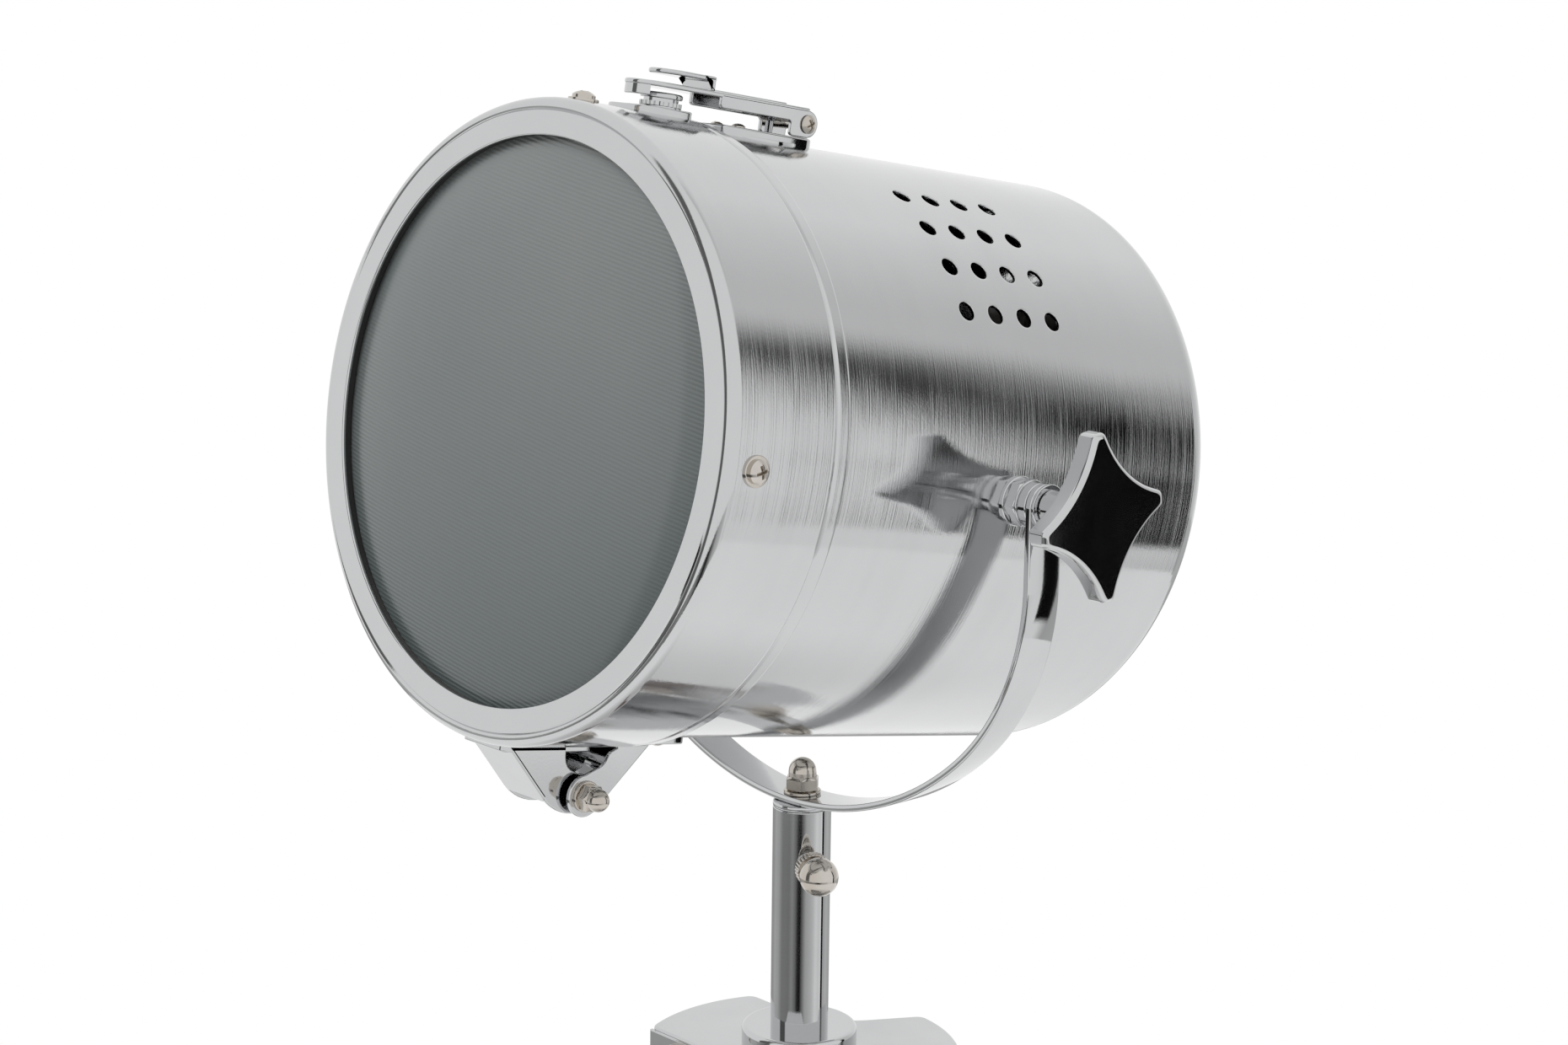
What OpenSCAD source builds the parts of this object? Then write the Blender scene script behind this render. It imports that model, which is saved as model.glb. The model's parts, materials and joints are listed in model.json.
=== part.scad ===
// Floor lamp with a polished searchlight head in a yoke, on a short post and a folding tripod.
// Millimetres. Front is -Y, up is +Z, and the floor is Z = 0.

/* [Drum] */
// outside radius of the drum
drum_r = 121.5; // [100:0.5:140]
// sheet thickness of the drum
drum_wall = 1.5; // [1:0.1:3]
// tilt axis to the drum's front edge
drum_front = 97.6; // [90:0.1:120]
// tilt axis to the drum's rear face
drum_rear = 116; // [100:1:160]
// rounding of the rear edge
drum_edge_r = 12; // [6:0.5:14]
// upward tilt of the head at rest
head_tilt = 10; // [0:0.5:15]
// diameter of a vent hole
vent_d = 8; // [4:0.5:10]
// tilt axis to the first column of vents
vent_front = 24; // [0:1:30]
// spacing of the vent columns along the drum
vent_pitch = 16.5; // [12:0.1:20]
// angle of the lowest row of vents above the tilt axis
vent_angle = 32.8; // [25:0.1:40]
// angle between the rows of vents
vent_step = 9.6; // [8:0.1:12]
// vent columns and rows on each side
vent_n = 4; // [2:1:4]

/* [Door] */
// how far the door ring stands out from the drum
ring_step = 3.5; // [3:0.1:6]
// depth of the door ring
ring_depth = 60; // [52:0.5:75]
// sheet thickness of the door ring
ring_wall = 1.5; // [1:0.1:2.5]
// rounding of the ring's front edge
ring_edge_r = 4.5; // [3:0.5:6]
// width of the flat face in front of the lens
ring_lip = 15; // [10:0.1:16]
// gap between the door ring and the drum
door_seam = 0.4; // [0.3:0.1:1]
// rim thickness of the lens
lens_t = 4; // [3:0.5:6]
// how far the lens lies under the lip
lens_margin = 5.6; // [4:0.1:7]
// width of the plain band around the ribbed dome
lens_band = 5.9; // [4:0.1:10]
// height of the lens dome
lens_rise = 4; // [1:0.5:7]
// thickness of the lens gasket
gasket_t = 3.1; // [1:0.1:5]
// front face to the ring screws
ring_screw_back = 14; // [13:0.5:22]

/* [Hinge] */
// hinge pin below the ring's band
hinge_drop = 19; // [17:0.5:26]
// hinge pin ahead of the ring's rear edge
hinge_ahead = 12; // [8:0.5:15]
// diameter of the hinge pin
hinge_pin_d = 6; // [4:0.5:8]
// width between the ears of the door leaf
hinge_w = 26; // [20:1:34]
// sheet thickness of the hinge leaves
leaf_t = 2; // [1.5:0.1:3]

/* [Latch] */
// tilt axis to the latch pivot
latch_s = 35; // [28:1:38]
// height of the latch pivot above the drum
latch_rise = 9; // [8.5:0.5:12]
// width of the latch lever
lever_w = 20; // [14:1:26]
// sheet thickness of the latch lever
lever_t = 2; // [1.5:0.1:3]
// latch pivot to the nose of the lever
lever_reach = 85; // [84:0.5:92]
// how far the nose hangs below the top of the catch
nose_grip = 2; // [1:0.1:2.5]
// free play of the catch behind the nose
nose_play = 6.2; // [6:0.1:9]
// diameter of the latch pivot bolt
latch_pin_d = 5; // [4:0.5:6]

/* [Yoke] */
// pivot bush between the drum and the strap
bush_l = 12; // [8:0.5:20]
// outside diameter of the pivot bush
bush_d = 20; // [16:0.5:26]
// width of the strap
strap_w = 18; // [16:0.5:30]
// thickness of the strap
strap_t = 3; // [2:0.5:5]
// straight part of the strap below the tilt axis
yoke_drop = 30; // [14:0.5:40]
// height of the strap's bow as a share of its half width
yoke_bow = 0.875; // [0.85:0.005:0.95]
// height of the drum's axis above the tilt axis
axis_rise = 4.5; // [0:0.5:8]

/* [Clamp knobs] */
// radius to the four tips of a knob
knob_r = 33.5; // [26:0.5:40]
// radius to the waist between two tips
knob_waist = 21; // [16:0.5:23]
// radius of the concave sides
knob_side_r = 50; // [30:0.5:60]
// thickness of the knob
knob_t = 9; // [6:0.5:14]
// turn of the tips at rest
knob_turn = 17; // [0:1:45]
// diameter of the knob's boss
knob_boss_d = 14; // [12:0.5:18]
// length of the knob's boss
knob_boss_l = 20; // [12:0.5:30]
// diameter of the clamp stud
stud_d = 8; // [6:0.5:10]
// thickness of the pivot washer
washer_t = 1.6; // [1:0.1:3]
// diameter of the pivot washer
washer_d = 18; // [16:0.5:24]

/* [Post] */
// height of the tilt axis above the floor
pivot_z = 1335.5; // [1200:0.5:1500]
// outside diameter of the post
post_d = 25; // [22:0.5:32]
// wall of the post
post_wall = 1.5; // [1:0.1:3]
// length from the yoke down to the hub plate
post_l = 113.5; // [100:0.5:160]
// length of the swivel spigot inside the post
spigot_l = 60; // [40:1:80]
// thickness of the spigot's flange
spigot_flange = 2.5; // [2:0.1:5]
// diameter of the hub collar
collar_d = 50; // [42:1:60]
// height of the hub collar
collar_h = 12.3; // [8:0.1:20]
// thumb screw below the top of the post
thumb_drop = 23; // [10:0.5:30]
// compass angle of the thumb screw from +X
thumb_angle = -28; // [-90:1:0]
// diameter of the thumb screw's ball
thumb_ball_d = 16.5; // [12:0.5:20]
// diameter of the thumb screw's shank
thumb_shank_d = 6; // [4:0.5:8]

/* [Tripod] */
// radius of the circle through the feet
foot_circle_r = 340; // [280:5:400]
// hub plate thickness
hub_t = 2.5; // [2:0.1:4]
// width of a hub lobe
lobe_w = 60; // [54:1:70]
// post axis to the end of a lobe
lobe_r = 70; // [68:1:85]
// fillet between two lobes
lobe_fillet = 38; // [20:1:40]
// length of a folded tab
tab_l = 34; // [30:1:38]
// thickness of a folded tab
tab_t = 2; // [1.5:0.1:3]
// post axis to the leg bolts
leg_bolt_r = 48; // [46:0.5:50]
// leg bolt below the top of the hub plate
leg_bolt_drop = 12; // [11:0.5:16]
// diameter of the leg bolts
leg_bolt_d = 8; // [6:0.5:10]
// width of a leg at its top
leg_w = 44; // [34:1:46]
// width of a leg at its foot
leg_foot_w = 28; // [20:1:34]
// thickness of a leg
leg_thick = 22; // [16:1:24]
// depth of the leg's socket
socket_l = 56; // [40:1:80]
// wall of the leg's socket
socket_wall = 2; // [1.5:0.1:3]
// diameter of a rubber foot
foot_d = 38; // [34:1:50]
// height of a rubber foot
foot_h = 14; // [8:1:20]

/* [Lamp] */
// diameter of the bulb
bulb_d = 60; // [45:1:70]
// length of the lampholder body
holder_l = 44; // [36:1:60]
// diameter of the lampholder body
holder_d = 40; // [34:1:44]
// rear cap to the lampholder
bracket_l = 26; // [18:1:34]
// thickness of the reflector
reflector_t = 1.2; // [0.8:0.1:2]
// drum's front edge to the reflector's rim
reflector_back = 22; // [15:1:30]
// cord inlet below the drum's axis
gland_drop = 62; // [50:1:75]
// bore of the cord inlet
gland_bore_d = 7.5; // [6:0.5:9]

/* [Fits] */
// radial running clearance of a pin in its bore
run_fit = 0.05; // [0.02:0.01:0.09]
// gap beside a moving face
side_gap = 0.3; // [0.2:0.05:0.6]

/* [Hidden] */
$fn = 96;
e = 0.01;
big_fn = 720;
post_x = foot_circle_r / 4;
lobes = [180, 60, -60];
ring_r = drum_r + ring_step;
open_r = ring_r - ring_lip;
ring_rear_s = drum_front + door_seam;
ring_front_s = ring_rear_s + ring_depth;
lens_r = open_r + lens_margin;
lens_front_s = ring_front_s - ring_wall - gasket_t;
lens_rear_s = lens_front_s - lens_t;
dome_r = open_r - lens_band;
dome_ball = (dome_r * dome_r + lens_rise * lens_rise) / (2 * lens_rise);
bead_r = ring_step / 2;
screw_s = ring_front_s - ring_screw_back;
screw_angles = [0, 90, 180];
hinge_u = -(ring_r + hinge_drop);
hinge_s = ring_rear_s + hinge_ahead;
door_ear_x = hinge_w / 2;
drum_ear_x = door_ear_x + leaf_t + side_gap;
pin_end_x = drum_ear_x + leaf_t;
latch_u = drum_r + latch_rise;
lever_top = latch_u + 6.5;
lever_in = lever_top - lever_t;
nose_s = latch_s + lever_reach;
catch_top = lever_in - side_gap - 1.5;
nose_low = catch_top - nose_grip;
catch_front_s = nose_s - nose_play;
catch_head_r = (catch_front_s - ring_rear_s + 1) / 2;
catch_s = catch_front_s - catch_head_r;
yoke_in_r = drum_r + bush_l;
yoke_out_r = yoke_in_r + strap_t;
corner_r = yoke_out_r * 0.8;
bow_turn = 2 * atan((yoke_out_r * yoke_bow - corner_r) / (yoke_out_r - corner_r));
bow_off = (yoke_out_r - corner_r) / sin(bow_turn);
bow_r = corner_r + bow_off;
yoke_low = yoke_drop + yoke_out_r * yoke_bow;
yoke_z = pivot_z - yoke_low;
post_top_z = yoke_z - spigot_flange;
hub_z = yoke_z - post_l;
leg_z = hub_z - leg_bolt_drop;
eye_r = leg_bolt_drop - hub_t - side_gap - 0.2;
eye_w = lobe_w - 2 * tab_t - 2 * side_gap;
leg_splay = atan2(foot_circle_r - leg_bolt_r, leg_z - foot_h);
leg_run = (leg_z - foot_h) / cos(leg_splay);
floor_r = 3 * foot_circle_r;
socket_top = 14;
stud_in_x = drum_r - drum_wall - 10;
knob_x = yoke_out_r + washer_t;
cap_skirt = drum_edge_r + 2;
nut_reach = axis_rise + bush_d * 0.56;
nut_x = sqrt(pow(drum_r - drum_wall, 2) - nut_reach * nut_reach) - 7.2;
leaf_front = ring_depth * 0.655;
leaf_heel = leaf_front - 24;
ear_back = ring_depth * 0.35;
holder_rear_s = -drum_rear + drum_wall + bracket_l;
holder_front_s = holder_rear_s + holder_l;
bulb_s = holder_front_s + 14 + bulb_d / 2;
reflector_front_s = drum_front - reflector_back;
reflector_rear_s = holder_front_s - 12;
reflector_rear_r = holder_d / 2 + 4;
thumb_z = post_top_z - thumb_drop;

// Pivot frame: x to the right along the tilt axis, y up, z forward, leaned back with the head.
module in_pivot() {
  translate([post_x, 0, pivot_z]) rotate([90 - head_tilt, 0, 0]) children();
}

// Head frame: the pivot frame raised to the drum's axis.
module in_head() {
  in_pivot() translate([0, axis_rise, 0]) children();
}

// Yoke frame: the origin is on the tilt axis, straight above the post.
module in_yoke() {
  translate([post_x, 0, pivot_z]) children();
}

// Lobe frame of the tripod hub: x out along the lobe, y across it.
module in_lobe(i) {
  translate([post_x, 0, 0]) rotate([0, 0, lobes[i]]) children();
}

// Leg frame: the origin is on the leg bolt and -z runs down the leg.
module in_leg(i) {
  in_lobe(i) translate([leg_bolt_r, 0, leg_z]) rotate([0, -leg_splay, 0]) children();
}

// Cylinder along x from x = a to x = b.
module rod_x(r, a, b) {
  translate([a, 0, 0]) rotate([0, 90, 0]) cylinder(r = r, h = b - a);
}

// Cylinder along y from y = a to y = b.
module rod_y(r, a, b) {
  translate([0, a, 0]) rotate([-90, 0, 0]) cylinder(r = r, h = b - a);
}

// Ring of rectangular section between two radii.
module tube(r_out, r_in, h) {
  difference() {
    cylinder(r = r_out, h = h);
    translate([0, 0, -1]) cylinder(r = r_in, h = h + 2);
  }
}

// Hexagonal prism given across its flats.
module hex(af, h) {
  cylinder(r = af / sqrt(3), h = h, $fn = 6);
}

// Domed cap nut standing on z = 0, with a bore of radius r that is closed on top.
module cap_nut(af, h, r) {
  difference() {
    union() {
      hex(af, h * 0.44);
      translate([0, 0, h * 0.44 - e]) cylinder(r = af * 0.46, h = h * 0.12);
      intersection() {
        translate([0, 0, h - af * 0.46]) sphere(r = af * 0.46);
        translate([0, 0, h * 0.5]) cylinder(r = af, h = h);
      }
      cylinder(r = af * 0.46, h = h - af * 0.46);
    }
    translate([0, 0, -1]) cylinder(r = r, h = h * 0.6 + 1);
  }
}

// Pan head with a cross recess, standing on z = 0.
module pan_head(r, h) {
  difference() {
    intersection() {
      cylinder(r = r, h = h);
      translate([0, 0, h - r * 1.5]) sphere(r = r * 1.5);
    }
    for (a = [0, 90]) {
      rotate([0, 0, a]) translate([-r * 0.55, -r * 0.12, h * 0.5]) cube([r * 1.1, r * 0.24, h]);
    }
  }
}

// Lobed outline of the hub plate.
module hub_outline() {
  corner = lobe_w / 2 / sin(60);
  fill = lobe_fillet / tan(60);
  difference() {
    union() {
      intersection() {
        circle(r = lobe_r);
        union() {
          for (a = lobes) {
            rotate([0, 0, a]) translate([0, -lobe_w / 2]) square([lobe_r + 2, lobe_w]);
          }
        }
      }
      for (a = lobes) {
        rotate([0, 0, a + 60]) polygon([
          [0, 0],
          [corner + fill * cos(60), -fill * sin(60)],
          [corner + fill * cos(60), fill * sin(60)]
        ]);
      }
    }
    for (a = lobes) {
      rotate([0, 0, a + 60]) translate([corner + lobe_fillet / sin(60), 0]) circle(r = lobe_fillet);
    }
  }
}

// Side profile of one folded tab, with a round lower end.
module tab_outline() {
  translate([-tab_l / 2, -2]) square([tab_l, leg_bolt_drop - hub_t + 2 + e]);
  translate([0, -2]) circle(r = tab_l / 2);
}

module hub_plate() {
  color("silver") {
    translate([post_x, 0, hub_z - hub_t]) difference() {
      linear_extrude(hub_t) hub_outline();
      translate([0, 0, -1]) cylinder(r = 6.2, h = hub_t + 2);
    }
    for (i = [0, 1, 2]) {
      in_lobe(i) for (side = [-1, 1]) {
        translate([leg_bolt_r, side * (lobe_w / 2 - tab_t / 2) + tab_t / 2, leg_z]) {
          rotate([90, 0, 0]) difference() {
            linear_extrude(tab_t) tab_outline();
            translate([0, 0, -1]) cylinder(r = leg_bolt_d / 2 + run_fit, h = tab_t + 2);
          }
        }
      }
    }
  }
}

module hub_collar() {
  color("silver") translate([post_x, 0, hub_z]) difference() {
    union() {
      cylinder(r = collar_d / 2, h = collar_h - 2);
      cylinder(r = collar_d / 2 - 2, h = collar_h);
      translate([0, 0, collar_h - 2]) rotate_extrude() translate([collar_d / 2 - 2, 0]) circle(r = 2);
    }
    translate([0, 0, -1]) cylinder(r = post_d / 2, h = collar_h + 2);
  }
}

module post_tube() {
  color("silver") difference() {
    translate([post_x, 0, hub_z]) tube(post_d / 2, post_d / 2 - post_wall, post_top_z - hub_z);
    translate([post_x, 0, thumb_z]) rotate([0, 0, thumb_angle]) {
      rod_x(thumb_shank_d / 2 + run_fit, 0, post_d);
    }
  }
}

module post_plug() {
  color("gray") translate([post_x, 0, hub_z]) difference() {
    cylinder(r = post_d / 2 - post_wall, h = 26);
    translate([0, 0, -1]) cylinder(r = 6, h = 21);
  }
}

module hub_bolt() {
  color("gray") translate([post_x, 0, hub_z - hub_t]) {
    translate([0, 0, -3]) cylinder(r = 15, h = 3);
    translate([0, 0, -11]) hex(19, 8 + e);
    translate([0, 0, -4]) cylinder(r = 6, h = 4 + hub_t + 18);
  }
}

module leg_bolts() {
  color("lightgray") for (i = [0, 1, 2]) {
    in_lobe(i) translate([leg_bolt_r, 0, leg_z]) {
      rod_y(leg_bolt_d / 2, -lobe_w / 2 - 1, lobe_w / 2 + 7);
      translate([0, -lobe_w / 2, 0]) rotate([90, 0, 0]) {
        cylinder(r = leg_bolt_d * 0.95, h = 1.4);
        pan_head(leg_bolt_d * 0.8, 5.5);
      }
    }
  }
}

module leg_bolt_nuts() {
  color("lightgray") for (i = [0, 1, 2]) {
    in_lobe(i) translate([leg_bolt_r, lobe_w / 2, leg_z]) rotate([-90, 0, 0]) {
      tube(leg_bolt_d * 0.95, leg_bolt_d / 2, 1.4);
      translate([0, 0, 1.4 - e]) cap_nut(leg_bolt_d * 1.625, 13, leg_bolt_d / 2);
    }
  }
}

// Metal end of one leg: a pivot eye with a square heel that meets the plate, and a socket.
module leg_socket(i) {
  in_lobe(i) translate([leg_bolt_r, 0, leg_z]) difference() {
    union() {
      rod_y(eye_r, -eye_w / 2, eye_w / 2);
      translate([0, -eye_w / 2, 0]) cube([eye_r + 1, eye_w, leg_bolt_drop - hub_t - side_gap]);
      rotate([0, -leg_splay, 0]) difference() {
        union() {
          translate([-eye_r, -leg_w / 2, -socket_top]) cube([2 * eye_r, leg_w, socket_top]);
          translate([-leg_thick / 2 - socket_wall, -leg_w / 2 - socket_wall, -socket_top - socket_l]) {
            cube([leg_thick + 2 * socket_wall, leg_w + 2 * socket_wall, socket_l]);
          }
        }
        translate([-leg_thick / 2, -leg_w / 2, -socket_top - socket_l - 1]) {
          cube([leg_thick, leg_w, socket_l - 2]);
        }
      }
    }
    rod_y(leg_bolt_d / 2 + run_fit, -eye_w, eye_w);
  }
}

// Wooden leg: straight in its socket, then tapered, and cut level on its foot.
module leg(i) {
  color("saddlebrown") difference() {
    in_leg(i) translate([-leg_thick / 2, 0, 0]) rotate([90, 0, 90]) linear_extrude(leg_thick) polygon([
      [-leg_w / 2, -socket_top - 3],
      [-leg_w / 2, -socket_top - socket_l],
      [-leg_foot_w / 2, -leg_run - 30],
      [leg_foot_w / 2, -leg_run - 30],
      [leg_w / 2, -socket_top - socket_l],
      [leg_w / 2, -socket_top - 3]
    ]);
    translate([-floor_r, -floor_r, -leg_z]) cube([2 * floor_r, 2 * floor_r, leg_z + foot_h]);
  }
}

// Rubber foot with a rounded top edge, flat on the floor.
module foot(i) {
  color("black") in_lobe(i) translate([foot_circle_r, 0, 0]) {
    cylinder(r = foot_d / 2, h = foot_h - 3);
    cylinder(r = foot_d / 2 - 3, h = foot_h);
    translate([0, 0, foot_h - 3]) rotate_extrude() translate([foot_d / 2 - 3, 0]) circle(r = 3);
  }
}

module leg_socket_1() {
  color("silver") leg_socket(0);
}

module leg_1() {
  leg(0);
}

module foot_1() {
  foot(0);
}

module leg_socket_2() {
  color("silver") leg_socket(1);
}

module leg_2() {
  leg(1);
}

module foot_2() {
  foot(1);
}

module leg_socket_3() {
  color("silver") leg_socket(2);
}

module leg_3() {
  leg(2);
}

module foot_3() {
  foot(2);
}

module thumb_boss() {
  color("silver") translate([post_x, 0, thumb_z]) rotate([0, 0, thumb_angle]) difference() {
    rod_x(thumb_shank_d / 2 + 2.5, post_d / 2 - 1, post_d / 2 + 4);
    rod_x(thumb_shank_d / 2 + run_fit, 0, post_d);
    translate([0, 0, -20]) cylinder(r = post_d / 2, h = 40);
  }
}

// Thumb screw: shank, knurled collar and ball.
module thumb_screw() {
  neck = post_d / 2 + 4 + side_gap;
  color("lightgray") translate([post_x, 0, thumb_z]) rotate([0, 0, thumb_angle]) {
    rod_x(thumb_shank_d / 2, post_d / 2 - post_wall + side_gap, neck + 12);
    difference() {
      rod_x(thumb_shank_d / 2 + 4.5, neck, neck + 5);
      for (a = [0 : 15 : 345]) {
        rotate([a, 0, 0]) translate([0, 0, thumb_shank_d / 2 + 4.7]) rod_x(0.6, neck - 1, neck + 6);
      }
    }
    translate([neck + 4 + thumb_ball_d / 2, 0, 0]) sphere(r = thumb_ball_d / 2);
  }
}

// Half of the strap's bow, drawn with the tilt axis at the origin: a corner arc and half of the wide bottom arc.
module bow_half() {
  far = 3 * yoke_out_r;
  corner_x = yoke_out_r - corner_r;
  bow_y = -yoke_low + bow_r;
  intersection() {
    translate([corner_x, -yoke_drop]) difference() {
      circle(r = corner_r, $fn = big_fn);
      circle(r = corner_r - strap_t, $fn = big_fn);
    }
    translate([corner_x, -yoke_drop]) polygon([[0, 0], [far, 0], [far, -far], [far * tan(bow_turn), -far]]);
  }
  intersection() {
    translate([0, bow_y]) difference() {
      circle(r = bow_r, $fn = big_fn);
      circle(r = bow_r - strap_t, $fn = big_fn);
    }
    translate([0, bow_y]) polygon([[0, 0], [far * tan(bow_turn + 0.01), -far], [-1, -far], [-1, 0]]);
  }
}

module yoke_strap() {
  color("silver") in_yoke() difference() {
    union() {
      for (side = [0, 1]) {
        mirror([side, 0, 0]) {
          translate([0, strap_w / 2, 0]) rotate([90, 0, 0]) linear_extrude(strap_w) bow_half();
          translate([yoke_in_r, -strap_w / 2, -yoke_drop - e]) cube([strap_t, strap_w, yoke_drop + e]);
          translate([yoke_in_r + strap_t / 2, 0, 0]) rod_x(strap_w / 2, -strap_t / 2, strap_t / 2);
        }
      }
    }
    rod_x(stud_d / 2 + run_fit, -2 * yoke_out_r, 2 * yoke_out_r);
    translate([0, 0, -yoke_low - 5]) cylinder(r = 4.1, h = 20);
  }
}

module yoke_spigot() {
  color("lightgray") translate([post_x, 0, 0]) {
    translate([0, 0, post_top_z]) cylinder(r = post_d / 2, h = spigot_flange);
    translate([0, 0, post_top_z - spigot_l]) {
      cylinder(r = post_d / 2 - post_wall - run_fit, h = spigot_l + e);
    }
    translate([0, 0, yoke_z - 1]) cylinder(r = 4, h = strap_t + 10.5);
  }
}

module yoke_washer() {
  color("lightgray") translate([post_x, 0, yoke_z + strap_t]) difference() {
    tube(8, 4.1, washer_t);
    translate([0, strap_w, bow_r - strap_t]) rotate([90, 0, 0]) {
      tube(bow_r, bow_r - strap_t - 0.12, 2 * strap_w, $fn = big_fn);
    }
  }
}

module yoke_cap_nut() {
  color("tan") translate([post_x, 0, yoke_z + strap_t + washer_t]) cap_nut(13, 14, 4);
}

module pivot_washers() {
  color("lightgray") in_yoke() for (side = [-1, 1]) {
    difference() {
      translate([side * (yoke_out_r + washer_t / 2), 0, 0]) rod_x(washer_d / 2, -washer_t / 2, washer_t / 2);
      rod_x(stud_d / 2 + run_fit, -2 * yoke_out_r, 2 * yoke_out_r);
    }
  }
}

// Concave four-pointed outline of a clamp knob.
module knob_outline(s) {
  scale([s, s]) difference() {
    circle(r = knob_r);
    for (a = [45 : 90 : 315]) {
      rotate([0, 0, a]) translate([knob_waist + knob_side_r, 0]) circle(r = knob_side_r);
    }
  }
}

// Clamp knob on the +X side: boss, four-pointed body and a raised flat face.
module clamp_knob() {
  in_pivot() difference() {
    union() {
      rod_x(knob_boss_d / 2, knob_x + side_gap, knob_x + knob_boss_l + 1);
      translate([knob_x + knob_boss_l, 0, 0]) rotate([0, 90, 0]) rotate([0, 0, 90 + knob_turn]) {
        linear_extrude(knob_t - 1.5) knob_outline(1);
        linear_extrude(knob_t) knob_outline(0.95);
      }
    }
    rod_x(stud_d / 2, knob_x - 1, knob_x + knob_boss_l + 2);
  }
}

module clamp_stud() {
  in_pivot() rod_x(stud_d / 2, stud_in_x, knob_x + knob_boss_l + 2);
}

module tilt_knob_right() {
  color("silver") clamp_knob();
}

module tilt_stud_right() {
  color("gray") clamp_stud();
}

module tilt_knob_left() {
  color("silver") translate([post_x, 0, 0]) mirror([1, 0, 0]) translate([-post_x, 0, 0]) clamp_knob();
}

module tilt_stud_left() {
  color("gray") translate([post_x, 0, 0]) mirror([1, 0, 0]) translate([-post_x, 0, 0]) clamp_stud();
}

module drum_shell() {
  color("silver") in_head() difference() {
    translate([0, 0, -drum_rear + cap_skirt]) {
      tube(drum_r, drum_r - drum_wall, drum_rear - cap_skirt + drum_front);
    }
    for (side = [0, 1]) {
      mirror([side, 0, 0]) for (i = [0 : vent_n - 1]) {
        for (j = [0 : vent_n - 1]) {
          translate([0, 0, vent_front - i * vent_pitch]) rotate([0, 0, vent_angle + j * vent_step]) {
            rod_x(vent_d / 2, drum_r - 12, drum_r + 8);
          }
        }
      }
    }
    translate([0, -axis_rise, 0]) rod_x(bush_d * 0.3 + e, -2 * drum_r, 2 * drum_r);
  }
}

// Rear cap with a rounded edge and a skirt inside the drum.
module drum_rear_cap() {
  in_r = drum_r - drum_wall;
  color("silver") in_head() difference() {
    rotate_extrude() difference() {
      union() {
        translate([0, -drum_rear]) square([drum_r - drum_edge_r, cap_skirt]);
        translate([0, -drum_rear + drum_edge_r]) square([drum_r, cap_skirt - drum_edge_r]);
        intersection() {
          translate([drum_r - drum_edge_r, -drum_rear + drum_edge_r]) circle(r = drum_edge_r);
          translate([0, -drum_rear]) square([drum_r, drum_edge_r + e]);
        }
        translate([0, -drum_rear + drum_edge_r]) square([in_r, cap_skirt - drum_edge_r + 12]);
      }
      translate([-drum_r, -drum_rear - 1]) square([drum_r, drum_rear]);
      translate([-1, -drum_rear + drum_wall]) square([in_r - drum_edge_r + 1, drum_rear]);
      translate([-1, -drum_rear + drum_edge_r]) square([in_r - drum_wall + 1, drum_rear]);
      translate([in_r - drum_edge_r, -drum_rear + drum_edge_r]) circle(r = drum_edge_r - drum_wall);
    }
    translate([0, -gland_drop, -drum_rear - 1]) cylinder(r = 8, h = 10);
  }
}

module rear_cap_screws() {
  color("lightgray") in_head() for (a = [110, 190, 270]) {
    rotate([0, 0, a]) translate([drum_r, 0, -drum_rear + cap_skirt + 6]) {
      rotate([0, 90, 0]) pan_head(3.5, 2.4);
    }
  }
}

module pivot_bushes() {
  color("silver") in_pivot() for (side = [0, 1]) {
    mirror([side, 0, 0]) difference() {
      union() {
        difference() {
          rod_x(bush_d / 2, drum_r - bush_d * 0.15, yoke_in_r - side_gap);
          translate([0, axis_rise, -drum_rear]) cylinder(r = drum_r, h = 2 * drum_rear, $fn = big_fn);
        }
        rod_x(bush_d * 0.3, drum_r - drum_wall - 8, drum_r + 1);
      }
      rod_x(stud_d / 2 + run_fit, stud_in_x - 1, yoke_out_r);
    }
  }
}

module pivot_nuts() {
  color("gray") in_pivot() for (side = [0, 1]) {
    mirror([side, 0, 0]) difference() {
      translate([nut_x, 0, 0]) rotate([0, 90, 0]) hex(bush_d * 0.95, 7);
      rod_x(bush_d * 0.3, 0, drum_r + 1);
    }
  }
}

// Dished reflector with a rim that sits against the inside of the drum.
module reflector() {
  rim_r = drum_r - drum_wall - 0.1;
  bowl_r = rim_r - 8;
  color("whitesmoke") in_head() rotate_extrude() {
    polygon([
      [reflector_rear_r, reflector_rear_s],
      [reflector_rear_r + (bowl_r - reflector_rear_r) * 0.62, reflector_rear_s + 16],
      [bowl_r * 0.93, reflector_front_s - 28],
      [bowl_r, reflector_front_s - reflector_t],
      [rim_r, reflector_front_s - reflector_t],
      [rim_r, reflector_front_s],
      [bowl_r - reflector_t, reflector_front_s],
      [bowl_r * 0.93 - reflector_t, reflector_front_s - 28 + reflector_t],
      [reflector_rear_r + (bowl_r - reflector_rear_r) * 0.62 - reflector_t, reflector_rear_s + 16 + reflector_t],
      [reflector_rear_r, reflector_rear_s + reflector_t]
    ]);
  }
}

module lampholder_bracket() {
  color("gray") in_head() difference() {
    union() {
      translate([0, 0, -drum_rear + drum_wall]) cylinder(r = holder_d / 2 + 10, h = 2);
      translate([0, 0, -drum_rear + drum_wall]) cylinder(r = holder_d / 2, h = bracket_l);
    }
    translate([0, 0, -drum_rear + drum_wall + 2]) cylinder(r = holder_d / 2 - 2, h = bracket_l - 4);
    translate([0, 0, -drum_rear]) cylinder(r = 6, h = bracket_l + 10);
    translate([-holder_d, -holder_d, -drum_rear + drum_wall + 6]) cube([2 * holder_d, holder_d - 8, bracket_l - 12]);
  }
}

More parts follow.
